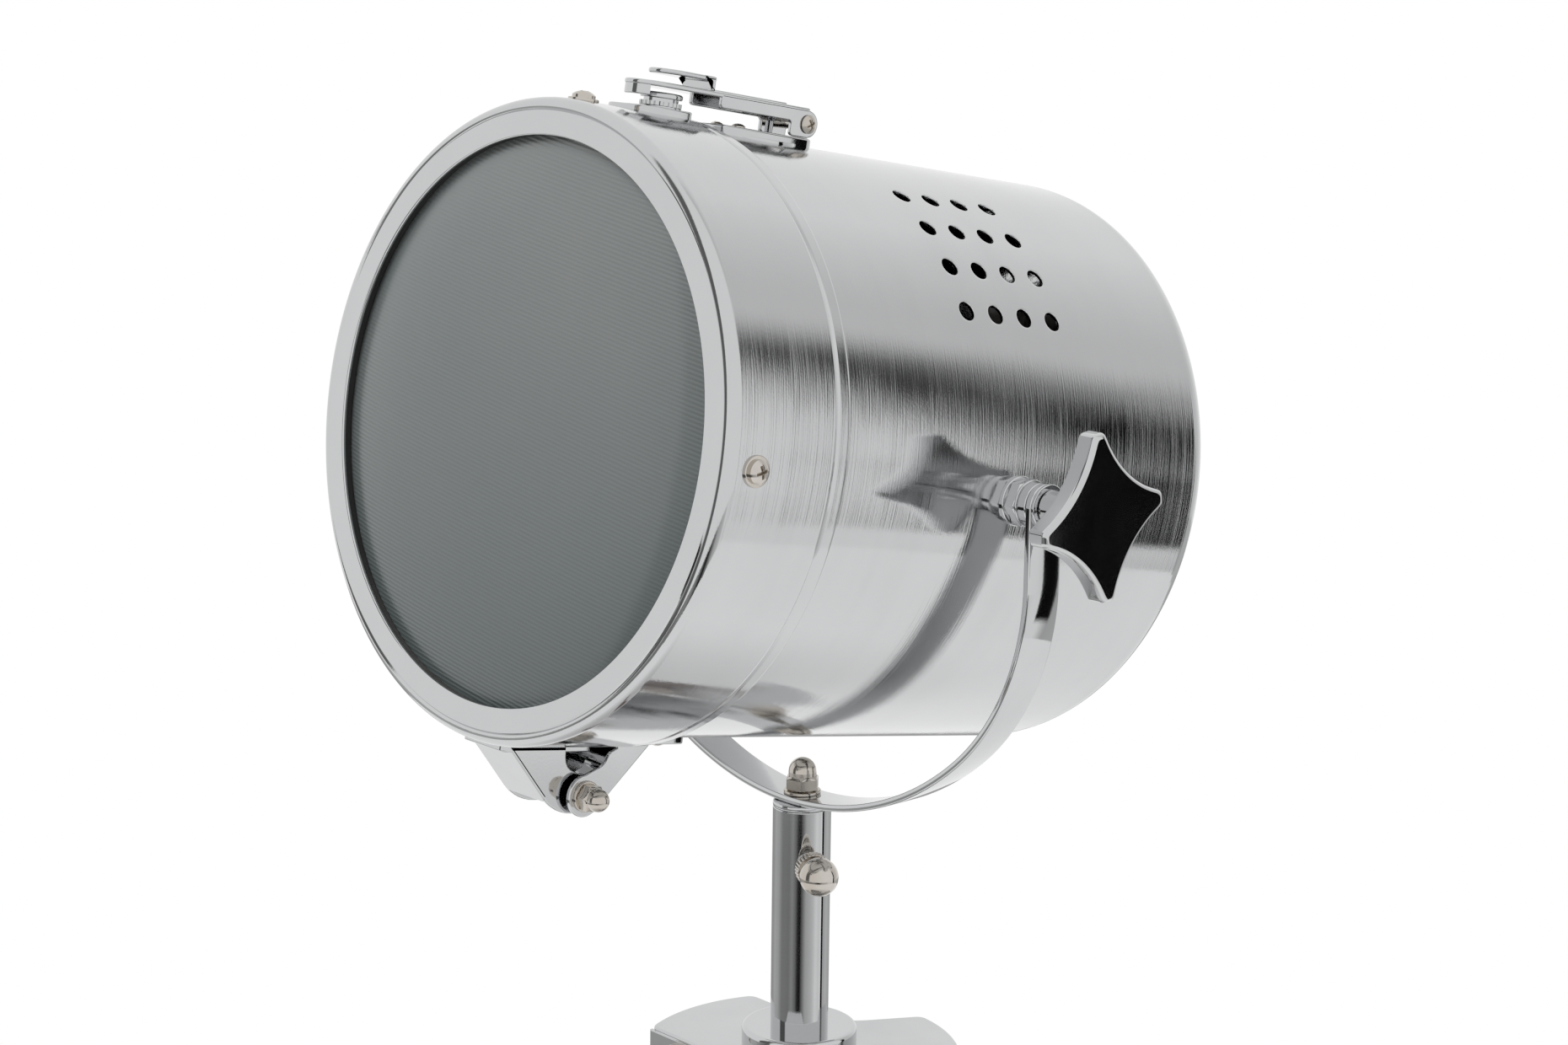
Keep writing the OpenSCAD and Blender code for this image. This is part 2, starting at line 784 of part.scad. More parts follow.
module lampholder_body() {
  color("ivory") in_head() difference() {
    translate([0, 0, holder_rear_s]) cylinder(r = holder_d / 2, h = holder_l);
    translate([0, 0, holder_front_s - 30]) cylinder(r = 13.6, h = 31);
    translate([0, 0, holder_rear_s - 1]) cylinder(r = 6, h = 6);
  }
}

module lampholder_ring() {
  color("ivory") in_head() translate([0, 0, holder_front_s - 10]) tube(holder_d / 2 + 2.5, holder_d / 2, 6);
}

module bulb_cap() {
  color("goldenrod") in_head() {
    translate([0, 0, holder_front_s - 26]) cylinder(r = 13.3, h = 26);
    translate([0, 0, holder_front_s - 30]) cylinder(r = 5, h = 5);
  }
}

module bulb_glass() {
  color("white") in_head() rotate_extrude() difference() {
    union() {
      translate([0, bulb_s]) circle(r = bulb_d / 2);
      polygon([
        [0, holder_front_s],
        [13.3, holder_front_s],
        [bulb_d * 0.43, bulb_s - bulb_d * 0.256],
        [0, bulb_s]
      ]);
    }
    translate([-bulb_d, holder_front_s - 1]) square([bulb_d, bulb_d * 3]);
  }
}

module cable_gland() {
  color("black") in_head() translate([0, -gland_drop, -drum_rear]) difference() {
    union() {
      translate([0, 0, -4]) hex(20, 4);
      translate([0, 0, -14]) cylinder(r = 8, h = 11);
      translate([0, 0, -1]) cylinder(r = 8, h = drum_wall + 8);
    }
    translate([0, 0, -20]) cylinder(r = gland_bore_d / 2, h = 40);
  }
}

module gland_nut() {
  color("black") in_head() translate([0, -gland_drop, -drum_rear + drum_wall]) difference() {
    hex(22, 5);
    translate([0, 0, -1]) cylinder(r = 8, h = 10);
  }
}

module terminal_block() {
  color("ivory") in_head() translate([-18, gland_drop - 14, -drum_rear + drum_wall]) difference() {
    cube([36, 20, 14]);
    for (x = [6, 18, 30]) {
      translate([x, 10, 4]) cylinder(r = 2.4, h = 20);
    }
  }
}

// Ear of the drum leaf: a straight rear edge, and a front edge that hollows in above the pin.
module drum_ear() {
  eye = hinge_pin_d / 2 + 5.5;
  difference() {
    union() {
      translate([hinge_u, hinge_s]) circle(r = eye);
      polygon([
        [-drum_r + 2, drum_front - ear_back],
        [-drum_r + 2, drum_front - 1.2],
        [-ring_r + 0.4, drum_front - 1.2],
        [hinge_u + 2 * eye, hinge_s - eye * 1.12],
        [hinge_u + eye * 1.7, hinge_s - eye * 1.06],
        [hinge_u + eye * 1.42, hinge_s - eye * 0.85],
        [hinge_u + eye * 1.3, hinge_s - eye * 0.53],
        [hinge_u + eye * 0.95, hinge_s + eye * 0.2],
        [hinge_u - eye * 0.62, hinge_s - eye * 0.66]
      ]);
    }
    translate([hinge_u, hinge_s]) circle(r = hinge_pin_d / 2 + run_fit);
  }
}

// Ear of the door leaf: its front edge runs down with the web and rounds off under the pin.
module door_ear() {
  eye = hinge_pin_d / 2 + 5;
  difference() {
    union() {
      translate([hinge_u, hinge_s]) circle(r = eye);
      polygon([
        [-ring_r + 1, hinge_s + eye * 1.16],
        [-ring_r + 1, hinge_s + leaf_front],
        [hinge_u - 4, hinge_s + leaf_heel],
        [hinge_u - eye * 0.85, hinge_s + leaf_heel * 0.64],
        [hinge_u - eye, hinge_s + leaf_heel * 0.3],
        [hinge_u - eye, hinge_s],
        [hinge_u + eye * 0.5, hinge_s - eye * 0.7],
        [hinge_u + eye * 0.97, hinge_s],
        [hinge_u + eye * 1.17, hinge_s + eye * 0.49],
        [hinge_u + eye * 1.3, hinge_s + eye * 0.83],
        [hinge_u + eye * 1.55, hinge_s + eye * 1.04],
        [hinge_u + eye * 1.86, hinge_s + eye * 1.13]
      ]);
    }
    translate([hinge_u, hinge_s]) circle(r = hinge_pin_d / 2 + run_fit);
  }
}

// Two matching ears at +-x, given by the inner face and an outline.
module ears(x) {
  for (side = [0, 1]) {
    mirror([side, 0, 0]) translate([x + leaf_t, 0, 0]) rotate([0, -90, 0]) {
      linear_extrude(leaf_t) rotate([0, 0, 90]) mirror([0, 1, 0]) children();
    }
  }
}

module hinge_drum_leaf() {
  heel = hinge_pin_d / 2 + 5.5;
  web_u = hinge_u - heel * 0.62 + drum_r - 2;
  web_s = hinge_s - heel * 0.66 - drum_front + ear_back;
  web_l = sqrt(web_u * web_u + web_s * web_s) - heel * 1.1;
  color("silver") in_head() difference() {
    union() {
      translate([-pin_end_x, -drum_r - leaf_t, drum_front - 36]) cube([2 * pin_end_x, leaf_t + 6, 35]);
      ears(drum_ear_x) drum_ear();
      translate([-pin_end_x, -drum_r + 2, drum_front - ear_back]) rotate([atan2(web_s, web_u), 0, 0]) {
        translate([leaf_t / 2, 0, -leaf_t * 1.3]) cube([2 * pin_end_x - leaf_t, web_l, leaf_t]);
      }
    }
    translate([0, 0, -drum_rear]) cylinder(r = drum_r, h = 2 * drum_rear + drum_front, $fn = big_fn);
  }
}

module hinge_pin_bolt() {
  color("lightgray") in_head() translate([0, hinge_u, hinge_s]) {
    rod_x(hinge_pin_d / 2, -pin_end_x - 1, pin_end_x + 6);
    translate([-pin_end_x, 0, 0]) rotate([0, -90, 0]) {
      cylinder(r = hinge_pin_d, h = 1.2);
      hex(hinge_pin_d * 1.66, 5);
    }
  }
}

module hinge_nut() {
  color("lightgray") in_head() translate([pin_end_x, hinge_u, hinge_s]) rotate([0, 90, 0]) {
    tube(hinge_pin_d * 1.05, hinge_pin_d / 2, 1.2);
    translate([0, 0, 1.2 - e]) cap_nut(hinge_pin_d * 1.66, 11, hinge_pin_d / 2);
  }
}

module hinge_drum_screws() {
  color("lightgray") in_head() for (x = [-9, 9]) {
    translate([x, -drum_r - leaf_t, drum_front - 28]) rotate([90, 0, 0]) pan_head(3.2, 2.2);
  }
}

module latch_base() {
  cheek_x = lever_w / 2 - lever_t - side_gap - 2;
  box_top = latch_u - 5.5 - side_gap;
  color("silver") in_head() difference() {
    union() {
      translate([-lever_w * 0.58, drum_r - 4, latch_s - 4]) cube([lever_w * 1.16, box_top - drum_r + 4, 50]);
      translate([-lever_w * 0.8, drum_r - 6, latch_s + 3]) cube([lever_w * 1.6, 7, 36]);
      for (side = [0, 1]) {
        mirror([side, 0, 0]) translate([cheek_x, 0, latch_s]) {
          translate([0, drum_r - 2, -3]) cube([2, latch_u - drum_r + 2, 8]);
          translate([0, latch_u, 0]) rod_x(lever_in - side_gap - latch_u, 0, 2);
        }
      }
    }
    translate([0, 0, -drum_rear]) cylinder(r = drum_r, h = 2 * drum_rear + drum_front, $fn = big_fn);
    translate([0, latch_u, latch_s]) rod_x(latch_pin_d / 2 + run_fit, -lever_w, lever_w);
  }
}

module latch_pivot_bolt() {
  color("lightgray") in_head() translate([0, latch_u, latch_s]) {
    rod_x(latch_pin_d / 2, -lever_w / 2 - 3, lever_w / 2 + 1);
    translate([lever_w / 2 + side_gap, 0, 0]) rotate([0, 90, 0]) pan_head(3.8, 2);
    translate([-lever_w / 2 - side_gap, 0, 0]) rotate([0, -90, 0]) hex(8, 4);
  }
}

module latch_base_screws() {
  color("lightgray") in_head() for (x = [-6.5, 6.5]) {
    translate([x, latch_u - 5.5 - side_gap, latch_s + 34]) rotate([-90, 0, 0]) pan_head(2.8, 1.6);
  }
}

// Door ring: rounded front edge, flat lip round the lens and a rolled bead at the rear.
module door_ring() {
  in_r = ring_r - ring_wall;
  in_edge = ring_edge_r - ring_wall;
  color("silver") in_head() rotate_extrude() difference() {
    union() {
      difference() {
        union() {
          translate([0, ring_rear_s + bead_r]) square([ring_r, ring_depth - bead_r - ring_edge_r]);
          translate([0, ring_rear_s + bead_r]) square([ring_r - ring_edge_r, ring_depth - bead_r]);
          translate([ring_r - ring_edge_r, ring_front_s - ring_edge_r]) circle(r = ring_edge_r);
        }
        translate([-1, ring_rear_s - 1]) square([in_r + 1, ring_depth - ring_edge_r + 1]);
        translate([-1, ring_rear_s - 1]) square([in_r - in_edge + 1, ring_depth - ring_wall + 1]);
        translate([in_r - in_edge, ring_front_s - ring_edge_r]) circle(r = in_edge);
        translate([-1, ring_rear_s]) square([open_r + 1, ring_depth + 1]);
      }
      translate([ring_r - bead_r, ring_rear_s + bead_r]) circle(r = bead_r);
    }
    translate([-ring_r, 0]) square([ring_r, 2 * ring_front_s]);
  }
}

// Lens: flat rim under the lip and a shallow dome inside it.
module lens_glass() {
  steps = 16;
  low = lens_front_s - dome_ball + lens_rise;
  dome = [
    for (i = [0 : steps])
      let (r = dome_r * i / steps) [r, low + sqrt(dome_ball * dome_ball - r * r)]
  ];
  color("lightcyan") in_head() rotate_extrude() {
    polygon(concat([[0, lens_rear_s]], dome, [[lens_r, lens_front_s], [lens_r, lens_rear_s]]));
  }
}

module lens_gasket() {
  color("black") in_head() translate([0, 0, lens_front_s]) tube(lens_r, open_r + 0.4, gasket_t);
}

module lens_clips() {
  in_r = ring_r - ring_wall;
  color("gray") in_head() for (a = screw_angles) {
    rotate([0, 0, a]) difference() {
      union() {
        translate([lens_r - 6, -7, lens_rear_s - 2]) cube([in_r - lens_r + 6, 14, 2]);
        translate([in_r - 3, -7, screw_s - 8]) cube([3 + 1, 14, lens_rear_s - screw_s + 8]);
      }
      difference() {
        translate([0, 0, screw_s - ring_depth]) cylinder(r = 2 * ring_r, h = 2 * ring_depth);
        translate([0, 0, screw_s - 2 * ring_depth]) cylinder(r = in_r, h = 4 * ring_depth, $fn = big_fn);
      }
    }
  }
}

module ring_screws() {
  color("lightgray") in_head() for (a = screw_angles) {
    rotate([0, 0, a]) translate([ring_r, 0, screw_s]) rotate([0, 90, 0]) {
      cylinder(r = 6, h = 1);
      translate([0, 0, 1 - e]) pan_head(4.6, 3);
    }
  }
}

// Leaf on the ring: foot plate, two ears and the web that joins them in front of the pin.
module hinge_door_leaf() {
  web_u = hinge_u - 4 + ring_r - 1;
  web_s = leaf_heel - leaf_front;
  web_turn = atan2(web_s, web_u);
  web_l = sqrt(web_u * web_u + web_s * web_s);
  color("silver") in_head() difference() {
    union() {
      translate([-door_ear_x, -ring_r - leaf_t, hinge_s - 4]) cube([2 * door_ear_x, leaf_t + 6, leaf_front + 6]);
      ears(door_ear_x - leaf_t) door_ear();
      translate([-door_ear_x, -ring_r + 1, hinge_s + leaf_front]) rotate([web_turn, 0, 0]) {
        translate([leaf_t / 2, 0, leaf_t * 0.3]) cube([2 * door_ear_x - leaf_t, web_l - 1, leaf_t]);
      }
    }
    cylinder(r = ring_r, h = 2 * ring_front_s, $fn = big_fn);
  }
}

module hinge_door_screws() {
  color("lightgray") in_head() for (x = [-6, 6]) {
    translate([x, -ring_r - leaf_t, hinge_s + leaf_front * 0.42]) rotate([90, 0, 0]) pan_head(3.2, 2.2);
  }
}

// Catch on the ring: foot plate, round neck and a flat head behind the lever's nose.
module latch_catch() {
  color("silver") in_head() difference() {
    union() {
      translate([-lever_w / 2 - 5, ring_r - 4, ring_rear_s + 2]) cube([lever_w + 10, 6, ring_depth * 0.4]);
      translate([0, ring_r - 2, catch_s]) rod_y(catch_head_r - 1.5, 0, catch_top - ring_r + 1);
      translate([0, 0, catch_s]) rod_y(catch_head_r, catch_top - 2, catch_top);
    }
    cylinder(r = ring_r, h = 2 * ring_front_s, $fn = big_fn);
  }
}

// Lever: channel on the pivot, flat tongue with a rounded tip and a nose turned down.
module latch_lever() {
  half = lever_w / 2;
  color("silver") in_head() difference() {
    union() {
      translate([-half, lever_in, latch_s]) cube([lever_w, lever_t, lever_reach - half + lever_t]);
      intersection() {
        translate([0, 0, nose_s - half + lever_t]) rod_y(half, nose_low, lever_top);
        union() {
          translate([-half, lever_in, nose_s - half]) cube([lever_w, lever_t, lever_w]);
          translate([-half * 0.6, nose_low, nose_s]) cube([half * 1.2, lever_top - nose_low, lever_t + 2]);
        }
      }
      for (side = [0, 1]) {
        mirror([side, 0, 0]) translate([half - lever_t, 0, latch_s]) {
          translate([0, lever_top - 6, 0]) cube([lever_t, 6 - e, lever_reach * 0.56]);
          translate([0, latch_u - 5.5, 0]) cube([lever_t, lever_top - latch_u + 5, 9]);
          translate([0, latch_u, 0]) rod_x(5.5, 0, lever_t);
        }
      }
    }
    translate([0, latch_u, latch_s]) rod_x(latch_pin_d / 2 + run_fit, -lever_w, lever_w);
  }
}

// Finger tab: a strip folded up from the lever and forward over it, with a round end.
module latch_tab() {
  tab_s = latch_s + lever_reach * 0.6;
  tab_r = lever_w * 0.45;
  color("silver") in_head() {
    translate([-tab_r, lever_top, tab_s]) cube([2 * tab_r, 5, 2]);
    translate([-tab_r, lever_top + 3.6, tab_s]) cube([2 * tab_r, 2, 16]);
    translate([0, 0, tab_s + 16]) rod_y(tab_r, lever_top + 3.6, lever_top + 5.6);
  }
}

hub_plate();
hub_collar();
post_tube();
post_plug();
hub_bolt();
leg_bolts();
leg_bolt_nuts();
leg_socket_1();
leg_1();
foot_1();
leg_socket_2();
leg_2();
foot_2();
leg_socket_3();
leg_3();
foot_3();
thumb_boss();
thumb_screw();
yoke_strap();
yoke_spigot();
yoke_washer();
yoke_cap_nut();
pivot_washers();
tilt_knob_right();
tilt_stud_right();
tilt_knob_left();
tilt_stud_left();
drum_shell();
drum_rear_cap();
rear_cap_screws();
pivot_bushes();
pivot_nuts();
reflector();
lampholder_bracket();
lampholder_body();
lampholder_ring();
bulb_cap();
bulb_glass();
cable_gland();
gland_nut();
terminal_block();
hinge_drum_leaf();
hinge_pin_bolt();
hinge_nut();
hinge_drum_screws();
latch_base();
latch_pivot_bolt();
latch_base_screws();
door_ring();
lens_glass();
lens_gasket();
lens_clips();
ring_screws();
hinge_door_leaf();
hinge_door_screws();
latch_catch();
latch_lever();
latch_tab();
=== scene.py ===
import json
import math
import re
import bpy
import numpy as np
from mathutils import Matrix, Vector

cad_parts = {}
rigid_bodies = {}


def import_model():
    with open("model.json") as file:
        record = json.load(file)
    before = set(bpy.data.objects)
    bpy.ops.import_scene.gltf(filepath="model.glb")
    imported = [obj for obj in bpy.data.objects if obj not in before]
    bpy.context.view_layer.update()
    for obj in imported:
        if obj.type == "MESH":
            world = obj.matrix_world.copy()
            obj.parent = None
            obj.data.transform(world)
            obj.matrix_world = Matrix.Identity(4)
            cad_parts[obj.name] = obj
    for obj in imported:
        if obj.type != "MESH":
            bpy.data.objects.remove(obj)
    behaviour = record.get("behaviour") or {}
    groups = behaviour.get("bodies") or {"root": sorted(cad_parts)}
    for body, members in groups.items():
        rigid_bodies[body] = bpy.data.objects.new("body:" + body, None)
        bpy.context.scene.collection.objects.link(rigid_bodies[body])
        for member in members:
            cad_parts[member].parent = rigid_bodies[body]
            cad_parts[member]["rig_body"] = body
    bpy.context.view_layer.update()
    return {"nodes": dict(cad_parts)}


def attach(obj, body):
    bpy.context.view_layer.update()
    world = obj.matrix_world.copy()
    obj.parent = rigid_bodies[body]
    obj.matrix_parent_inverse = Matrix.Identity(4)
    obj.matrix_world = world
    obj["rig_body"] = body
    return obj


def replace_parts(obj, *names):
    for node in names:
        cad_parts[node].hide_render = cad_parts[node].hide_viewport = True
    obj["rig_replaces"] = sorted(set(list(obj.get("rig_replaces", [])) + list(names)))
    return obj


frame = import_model()
scene = bpy.context.scene
print("frame loaded:", len(frame["nodes"]), "nodes")

# lengths are in millimetres until a shape is put in its place
place = {"postX": 85.0, "pivotZ": 1335.5, "axisRise": 4.5, "tilt": 10.0, "yokeZ": 1186.0625, "hubZ": 1072.5625,
         "lobes": (180, 60, -60)}
tiltSin, tiltCos = math.sin(math.radians(place["tilt"])), math.cos(math.radians(place["tilt"]))


# pivot frame (right, up, forward), turned by the tilt and set on the tilt axis
def inPivot(v):
    x, u, s = v.T
    return np.stack([place["postX"] + x, u * tiltSin - s * tiltCos,
                     place["pivotZ"] + u * tiltCos + s * tiltSin], axis=1) / 1000


# head frame: the pivot frame raised to the drum's axis
def inHead(v):
    return inPivot(v + np.array([0, place["axisRise"], 0]))


# yoke frame: the world's axes with the origin on the tilt axis
def inYoke(v):
    return (v + np.array([place["postX"], 0, place["pivotZ"]])) / 1000


# post frame: the world's axes with the origin on the floor under the post
def onPost(v):
    return (v + np.array([place["postX"], 0, 0])) / 1000


# turn about the third axis by an angle in degrees
def turned(angle):
    a = math.radians(angle)
    m = np.array([[math.cos(a), -math.sin(a), 0], [math.sin(a), math.cos(a), 0], [0, 0, 1]])
    return lambda v: v @ m.T


# lobe frame: first axis out along the lobe, second across it, third up
def inLobe(index):
    return lambda v: onPost(turned(place["lobes"][index])(v))


# leg frame: the lobe frame moved to the leg bolt and leaned out by the splay
def inLeg(index):
    a = math.radians(leg["splay"])
    lean = np.array([[math.cos(a), 0, -math.sin(a)], [0, 1, 0], [math.sin(a), 0, math.cos(a)]])
    return lambda v: inLobe(index)(v @ lean.T + np.array([hub["boltR"], 0, hub["boltZ"]]))


# a plain shift
def moved(x, y, z):
    return lambda v: v + np.array([x, y, z])


# axes of a shape in a new order, each with a sign, then a shift
def laid(order, signs=(1, 1, 1), shift=(0, 0, 0)):
    return lambda v: v[:, order] * np.array(signs) + np.array(shift)


# stands a shape on a drum of radius r at an angle round it, its own z pointing outwards
def radial(angle, r, s):
    a = math.radians(angle)
    out, along = np.array([math.cos(a), math.sin(a), 0]), np.array([-math.sin(a), math.cos(a), 0])
    return lambda v: (np.outer(v[:, 2] + r, out) + np.outer(v[:, 0], along)
                      + np.outer(v[:, 1] + s, [0, 0, 1]))


# rows of a table made one long
def unit(v):
    return v / np.linalg.norm(v, axis=1)[:, None]


# points at a radius, an angle and a height
def onCircle(r, a, z):
    return np.stack([r * np.cos(a), r * np.sin(a), z + 0 * a], -1)


# points of an arc from one angle to another, in degrees
def arc(cx, cy, r, start, end, steps=10):
    a = np.radians(np.linspace(start, end, steps + 1))
    return np.stack([cx + r * np.cos(a), cy + r * np.sin(a)], axis=1)


# each corner of a polygon replaced by an arc that touches both of its sides
def rounded(points, radius, steps=6):
    p = np.array(points, float)
    r = np.maximum(np.broadcast_to(np.asarray(radius, float), (len(p),)), 1e-3)
    d1, d2 = unit(np.roll(p, 1, 0) - p), unit(np.roll(p, -1, 0) - p)
    half = np.arccos(np.clip((d1 * d2).sum(1), -1, 1)) / 2
    c = p + unit(d1 + d2) * (r / np.sin(half))[:, None]
    reach = (r / np.tan(half))[:, None]
    a0 = np.arctan2(*(p + d1 * reach - c).T[::-1])
    a1 = np.arctan2(*(p + d2 * reach - c).T[::-1])
    a = a0[:, None] + ((a1 - a0 + np.pi) % (2 * np.pi) - np.pi)[:, None] * np.linspace(0, 1, steps + 1)
    return (c[:, None] + r[:, None, None] * np.stack([np.cos(a), np.sin(a)], -1)).reshape(-1, 2)


# extra points close to both ends of each long segment, so that flats stay flat when shaded
def supported(profile, closed=False, gap=0.06, long=1.2):
    p = np.asarray(profile, float)
    q = np.roll(p, -1, 0) if closed else np.vstack([p[1:], p[-1:]])
    d = q - p
    size = np.linalg.norm(d, axis=1)
    unit = d / np.maximum(size, 1e-9)[:, None]
    rows = np.stack([p, p + unit * gap, q - unit * gap], axis=1)
    keep = np.stack([np.ones(len(p), bool), size > long, size > long], axis=1)
    return rows[keep]


# quads of a grid of rows and columns, either way closed on itself
def gridQuads(rows, cols, closeRows=False, closeCols=False):
    i = np.arange(rows if closeRows else rows - 1)
    j = np.arange(cols if closeCols else cols - 1)
    a, b = np.meshgrid(i, j, indexing="ij")
    a2, b2 = (a + 1) % rows, (b + 1) % cols
    return np.stack([a * cols + b, a * cols + b2, a2 * cols + b2, a2 * cols + b], axis=-1).reshape(-1, 4)


# points in one place made one point, and quads that lose a corner made triangles
def welded(v, quads, ngons=()):
    key = np.round(v / 2e-4).astype(np.int64)
    _, first, index = np.unique(key, axis=0, return_index=True, return_inverse=True)
    index = index.reshape(-1)
    q = index[quads]
    same = q == np.roll(q, -1, axis=1)
    lost = same.sum(1)
    corner = np.argmax(same, axis=1)[lost == 1]
    tri = q[lost == 1][np.arange(len(corner))[:, None], (corner[:, None] + np.array([1, 2, 3])) % 4]
    loops = [index[np.asarray(n)] for n in ngons]
    loops = [n[n != np.roll(n, 1)] for n in loops]
    return {"v": v[first], "q": q[lost == 0], "t": tri, "n": loops}


# all faces turned over where the enclosed volume comes out negative
def outward(shape):
    v, q = shape["v"], shape["q"]
    fans = [np.stack([np.full(len(n) - 2, n[0]), n[1:-1], n[2:]], 1) for n in shape["n"]]
    tri = np.vstack([shape["t"].reshape(-1, 3), q[:, [0, 1, 2]], q[:, [0, 2, 3]]] + fans)
    w = v - v.mean(0)
    if np.einsum("ij,ij->i", w[tri[:, 0]], np.cross(w[tri[:, 1]], w[tri[:, 2]])).sum() < 0:
        shape = dict(shape, q=q[:, ::-1], t=shape["t"][:, ::-1], n=[n[::-1] for n in shape["n"]])
    return shape


# surface of revolution: a profile of (radius, height) carried round the z axis,
# with an optional limit on the radius by angle for flats and knurls
def lathe(profile, count=128, loop=False, limit=None):
    p = supported(profile, loop)
    a = np.linspace(0, 2 * np.pi, count, endpoint=False)
    r = np.repeat(np.maximum(p[:, :1], 0), count, axis=1)
    if limit is not None:
        r = np.minimum(r, limit(a)[None, :])
    return welded(onCircle(r, a, p[:, 1:]).reshape(-1, 3), gridQuads(len(p), count, loop, True))


# six flats: the distance to a hexagon's side by angle
def sixFlats(across):
    return lambda a: across / 2 / np.cos(np.mod(a, np.pi / 3) - np.pi / 6)


# the two end faces of a tube of rows
def lids(rows, n):
    return [np.arange(n)[::-1], (rows - 1) * n + np.arange(n)]


# closed outlines, one above the other, with a lid at both ends
def piled(xy, heights):
    rows, n = xy.shape[:2]
    z = np.repeat(heights, n).reshape(rows, n, 1)
    v = np.concatenate([xy, z], -1).reshape(-1, 3)
    return welded(v, gridQuads(rows, n, False, True), lids(rows, n))


# plate: an outline drawn in by each row's inset at that row's height, closed at both ends
def stack(outline, rows):
    p = np.asarray(outline, float)
    p = p[np.linalg.norm(p - np.roll(p, 1, 0), axis=1) > 1e-6]
    x, y = p.T
    if (x * np.roll(y, -1) - np.roll(x, -1) * y).sum() < 0:
        p = p[::-1]
    e = unit(np.roll(p, -1, 0) - p)
    n = np.stack([e[:, 1], -e[:, 0]], 1)
    back = np.roll(n, 1, 0)
    out = (n + back) / np.maximum(1 + (n * back).sum(1), 0.2)[:, None]
    rows = supported(rows)
    rows = np.vstack([[rows[0, 0] + 0.05, rows[0, 1]], rows, [rows[-1, 0] + 0.05, rows[-1, 1]]])
    return piled(p[None] - rows[:, 0][:, None, None] * out[None], rows[:, 1])


# rows (inset, height) of a plate from height a to b: a round lower edge, and an upper edge that may be wider than deep
def softRows(a, b, r, steps=4, bevel=None):
    t = np.radians(np.linspace(0, 90, steps + 1))
    wide, deep = bevel or (r, r)
    low = np.stack([r * (1 - np.sin(t)), a + r * (1 - np.cos(t))], 1)
    high = np.stack([wide * (1 - np.cos(t)), b - deep * (1 - np.sin(t))], 1)
    return np.vstack([low, high])


# a closed section for every point of a path, with its two axes given there; the first and the last section are
# lines, so the ends need no lids
def sweep(section, path, first, second):
    v = path[:, None] + section[..., :1] * first[:, None] + section[..., 1:] * second[:, None]
    n = section.shape[1]
    return welded(v.reshape(-1, 3), gridQuads(len(path), n, False, True))


# pan head: height falls off as a ball's, and a tapered cross is sunk in it
def crossHead(r, h, rows=44, cols=96):
    rho = r * np.linspace(0, 1, rows) ** 0.8
    a = np.linspace(0, 2 * np.pi, cols, endpoint=False)
    x, y = np.outer(rho, np.cos(a)), np.outer(rho, np.sin(a))
    ball = 1.5 * r
    z = h - ball + np.sqrt(ball ** 2 - rho ** 2)[:, None] + 0 * x
    arm = np.minimum(np.maximum(np.abs(x) - 0.55 * r, np.abs(y) - 0.13 * r),
                     np.maximum(np.abs(y) - 0.55 * r, np.abs(x) - 0.13 * r))
    z = z - 0.55 * h * np.clip(-arm / (0.09 * r), 0, 1)
    top = np.stack([x, y, z], -1).reshape(-1, 3)
    v = np.vstack([top, onCircle(r, a, 0)])
    return welded(v, gridQuads(rows + 1, cols, False, True), [np.arange(rows * cols, (rows + 1) * cols)])


# dome nut: six flats with chamfered corners under a half ball
def domeNut(across, h):
    r, corner = across * 0.46, across / math.sqrt(3)
    skirt = [(0, 0), (across * 0.48, 0), (corner, h * 0.05), (corner, h * 0.36), (across * 0.485, h * 0.44)]
    dome = arc(0, h - r, r, 14, 90, 14)
    return lathe(np.vstack([skirt, [(r, h * 0.46), (r, h - r)], dome]), 96, False, sixFlats(across))


# flat ring with softened edges
def washer(inner, outer, a, b, soft=0.25, count=96):
    p = rounded([(inner, a), (outer, a), (outer, b), (inner, b)], soft, 3)
    return lathe(p, count, True)


# plain nut: six flats with chamfered corners round a bore
def hexNut(inner, across, a, b):
    corner = across / math.sqrt(3)
    p = [(inner, a), (across * 0.47, a), (corner, a + 1.0), (corner, b - 1.0), (across * 0.47, b), (inner, b)]
    return lathe(p, 96, True, sixFlats(across))


# half section of a bar or collar: an arc at the lower and one at the upper outer edge
def barSection(inner, r, a, b, low, high=None, steps=4):
    high = high or low
    return np.vstack([[(inner, a)], arc(r - low, a + low, low, -90, 0, 4),
                      arc(r - high, b - high, high, 0, 90, steps), [(inner, b)]])


# solid round bar with softened ends
def rod(r, a, b, soft=0.4, count=64):
    return lathe(barSection(0, r, a, b, soft), count)


# outline of a box: from c to d, half its width to each side, corners rounded
def boxOutline(half, c, d, corner, steps=6):
    return rounded([(-half, c), (half, c), (half, d), (-half, d)], corner, steps)


# a shape carried through several placings, its faces outward
def applied(shape, *steps):
    v = shape["v"]
    for step in steps:
        v = step(v)
    return outward(dict(shape, v=v))


made = []


